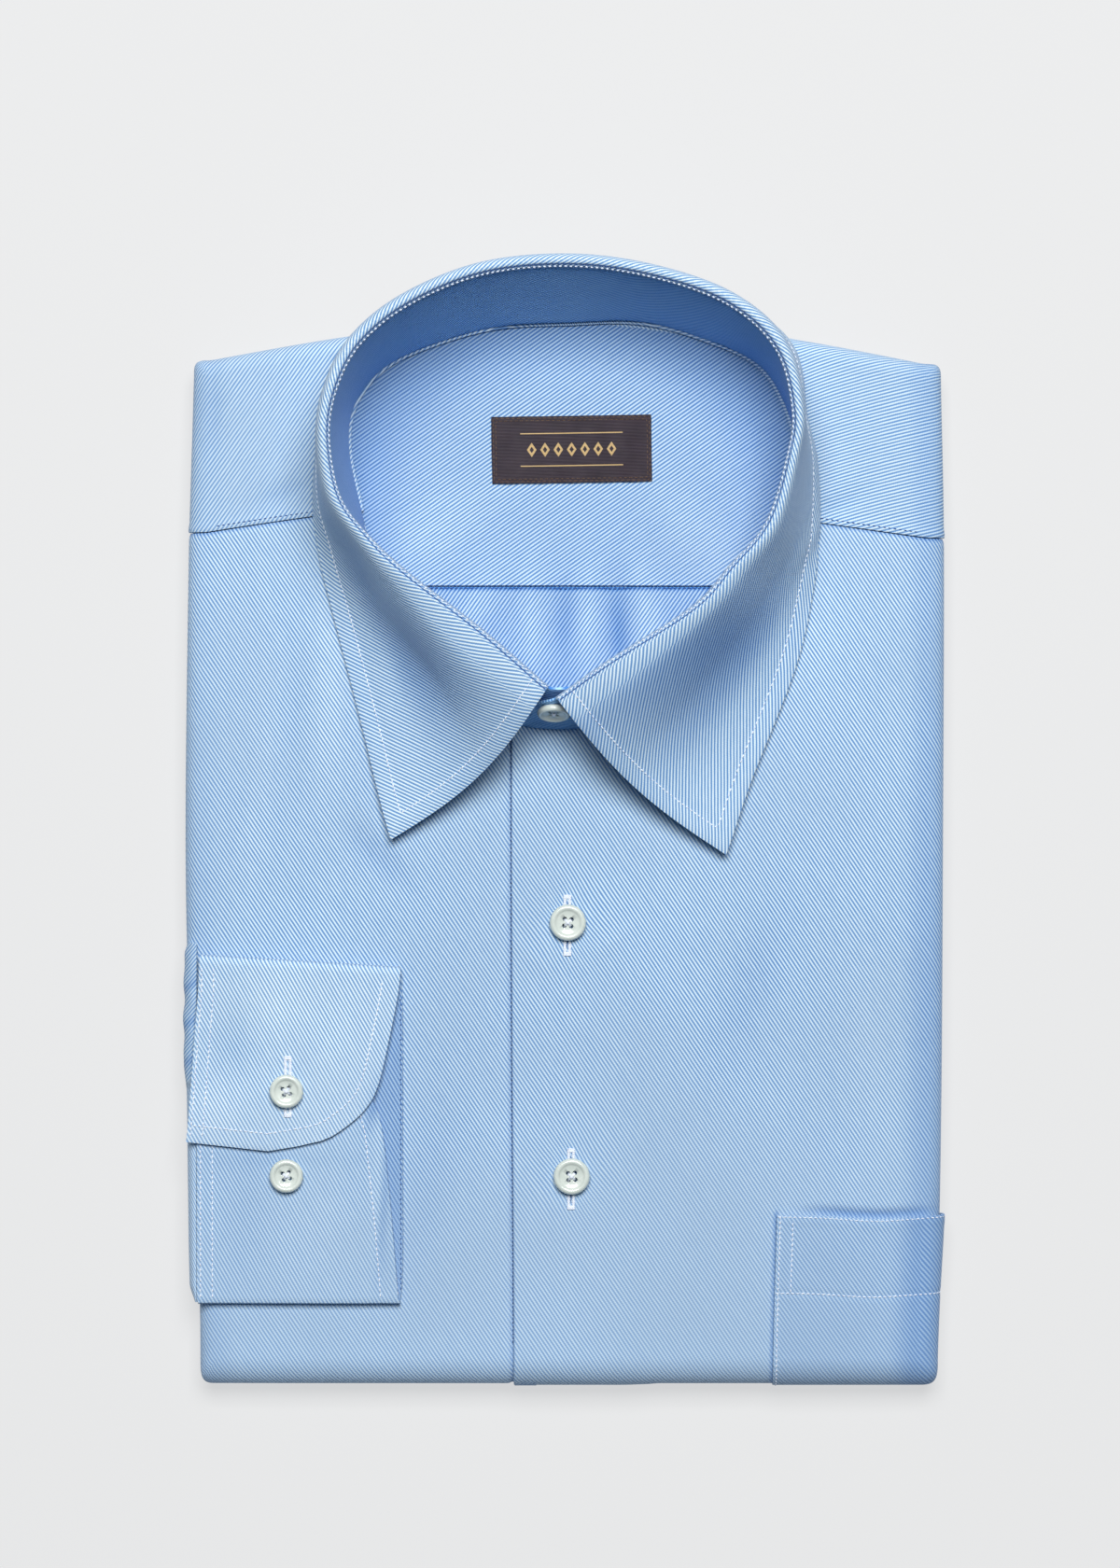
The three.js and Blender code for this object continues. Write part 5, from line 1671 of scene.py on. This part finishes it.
def buttonhole(bm, x, y, surface):
    # two rows of satin stitches beside the slit, closed by a bar at each end
    wheres = []
    half, wide = holes["long"] / 2, holes["wide"] / 2
    for side in (-1, 1):
        for k in range(int(holes["long"] / holes["pitch"]) + 1):
            at = y - half + k * holes["pitch"]
            inner, outer = x + side * holes["slit"] / 2, x + side * wide * needle.uniform(0.92, 1.04)
            wheres.append(stitch(surface(inner, at + 0.05), surface(outer, at), upward, holes["width"], 0.12, 0.9))
    for end in (-1, 1):
        for k in range(holes["bars"]):
            at = y + end * (half + 0.1 - holes["barPitch"] * k)
            wheres.append(stitch(surface(x - wide, at), surface(x + wide, at), upward, holes["width"], 0.28))
    addStitches(bm, wheres)


def sewButtonholes():
    bm = bmesh.new()
    for x, y in frontButtons:
        buttonhole(bm, x - 0.2, y - 0.9, onFront)
    buttonhole(bm, cuffButtons[0][1] + 0.4, cuffButtons[0][2] + 1.5, onCuffFlap)
    finishObject("buttonholes", bm, whiteThread)


def leafSpot(at, t):
    return leaf.point(at, t), normalAt(leaf.point, at, t, (0.02, 0.02), (lastSection, leafParts))


def leafEdgeLine(inset):
    # round the leaf, inside its two front edges and its outer edge
    ends = []
    for fromEnd in (lambda way: way, lambda way: lastSection - way):
        points = []
        for t in even(1.05, 3.97, 63):
            at = fromEnd(lastWhere(lambda way: leaf.fromEdge(fromEnd(way), t)[1] < inset, 0.0, 2.2))
            if leaf.fromEdge(at, t)[0] < inset:
                break
            points.append((at, t))
        ends.append(points)
    outer = []
    for at in even(0, lastSection, 240):
        if ends[0][-1][0] <= at <= ends[1][-1][0]:
            outer.append((at, lastWhere(lambda t: leaf.fromEdge(at, t)[0] > inset, 1.0, 4.0)))
    return [leafSpot(at, t) for at, t in ends[0] + outer + ends[1][::-1]]


def crestLine(inward=0.0):
    # where the leaf is sewn to the band
    return [leafSpot(at, seamAt(at) - inward) for at in even(0, lastSection, 260)]


def sewCollar():
    sewPiece("collar_stitches", whiteThread, (leafEdgeLine(collar["stitchIn"]), {"lift": 0.16}),
             (crestLine(0.24), {"length": 0.95, "gap": 0.7, "width": 0.6, "lift": 0.14}))


def onCuff(layer, points):
    return [(Vector((x, y, cuffHeight(x, y, cuff[layer]))), upward) for x, y in points]


def cuffEdgeLine():
    # round the free end of the flap, inside its edge
    first = cuffFlap[0]
    wide = first["right"] - first["left"]
    spots = [(x, lerp(first["leftY"], first["rightY"], (x - first["left"]) / wide)) for x in even(-120.8, -96, 60)]
    spots += [(between(cuffRows, "right", at), between(cuffRows, "rightY", at)) for at in even(0, 6.6, 120)[1:]]
    line = []
    for (x, y), (x2, y2) in zip(spots, spots[1:]):
        run = math.hypot(x2 - x, y2 - y) or 1
        line.append((x - (y2 - y) / run * cuff["stitchIn"], y + (x2 - x) / run * cuff["stitchIn"]))
    return onCuff("flap", [(x, y) for x, y in line if y < cuff["stitchTop"]])


def cuffSideLines(inset):
    flap = [(lookUp(cuffFlap, "leftY", "left", y) + inset, y) for y in even(-84.6, -30.5, 60)]
    return [onCuff("flap", flap), onCuff("under", [(-118.9 + inset, y) for y in even(-136.6, -86, 50)])]


def sewCuff():
    under = [(lookUp(cuffUnderlap, "rightY", "right", y) - cuff["stitchIn"], y) for y in even(-136.4, -74, 60)]
    back = zip(even(-57.2, -54.3, 30), even(-108, -136, 30))
    lines = [cuffEdgeLine(), *cuffSideLines(1.2), *cuffSideLines(5.0), onCuff("under", under), onCuff("back", back)]
    sewPiece("cuff_stitches", whiteThread, *((line, {}) for line in lines))


def sewPocket():
    low = pocketParams(0, 0)[1]
    span = pocketParams(1, 0)[0] - pocket["edge"]
    hem = pocket["hem"] - 0.6

    def below(share, drop):
        # this far below the mouth
        top = pocketParams(share, 1)[1]
        return share, (top - drop - low) / (top - low)
    lines = (([below(share, hem) for share in even(0, 1, 60)], {}),
             ([below(share, 0.7) for share in even(0, 1, 60)], {"width": 0.36}),
             ([(1.1 / span, 1 - k / 70) for k in range(71)], {}),
             ([below(5.2 / span, drop) for drop in even(hem, 0.8, 30)], {}))
    sewPiece("pocket_stitches", whiteThread, *((pathOn(pocketPlace, params), how) for params, how in lines))


def sewSeams():
    # dark blue stitches: real sewing at the crest, the cuff's back edge and the seams of the yoke to the fronts and to
    # the back, drawn dark as painted shade; and painted shade lines with no sewing under them in the slits and along
    # the placket's edge
    bm = bmesh.new()
    sew(bm, crestLine(), length=1.6, gap=0.06, width=0.46, lift=0.05)
    for x, y in frontButtons:
        # a dark stitch laid in each buttonhole's slit as painted shade
        slit = stitch(onFront(x - 0.2, y - 8.9), onFront(x - 0.2, y + 7.1), upward, 0.5, 0.02, 0.4)
        addStitches(bm, [slit])
    placket = [(bodyPoint(body["placketEdge"] - 0.1, v), upward) for v in even(52, -152, 150)]
    sew(bm, placket, length=0.62, gap=0.62, width=0.5, lift=0.12)
    sew(bm, onCuff("back", [(-53.4, y) for y in even(-40, -134, 60)]), length=0.7, gap=0.9, width=0.42)
    for side in (-1, 1):
        xs = [side * x for x in even(76, 113.5, 80)]
        points = [(bodyPoint(*clothAt(x, seamHeight(x) + 1.5), yoke["edgePuff"] * 0.9), upward) for x in xs]
        sew(bm, points, length=1.0, gap=0.7, width=0.4, lift=0.05)
    y = inside["seam"] - 0.5
    points = [(bodyPoint(*clothAt(x, y), -0.4 - body["ply"] - dip(x, y)), upward) for x in even(-70, 70, 120)]
    sew(bm, points, length=1.0, gap=0.6, width=0.44, lift=0.1)
    finishObject("seam_and_shade_stitches", bm, shadeThread)


def labelLoop(inset):
    a, b = inset / label["wide"], inset / label["high"]
    return ([(s, b) for s in even(a, 1 - a, 60)] + [(1 - a, t) for t in even(b, 1 - b, 30)]
            + [(s, 1 - b) for s in even(1 - a, a, 60)] + [(a, t) for t in even(1 - b, b, 30)])


def sewLabel():
    brownThread = threadMaterial("brownThread", linear(128, 100, 72), linear(96, 72, 54))
    how = {"length": 1.2, "gap": 0.5, "width": 0.2}
    loops = ((pathOn(labelPlace, labelLoop(inset)), how) for inset in (0.55, 1.35))
    sewPiece("label_stitches", brownThread, *loops, slot="label")


# build
makeLayers()
makeInside("back", inside["start"], inside["seam"] - 0.15, yoke["backTwill"])
makeInside("inner_yoke", inside["seam"] + 0.15, body["shoulderFold"], yoke["innerTwill"])
makeRightFront()
makeLeftFront()
makeYoke()
makeBand()
makeLeaf()
makeSleeve()
makeCuff()
makePocket()
makeLabel()
makeButtons()
sewButtonholes()
sewCollar()
sewCuff()
sewPocket()
sewSeams()
sewLabel()
print("made the sewing")

bpy.context.view_layer.update()
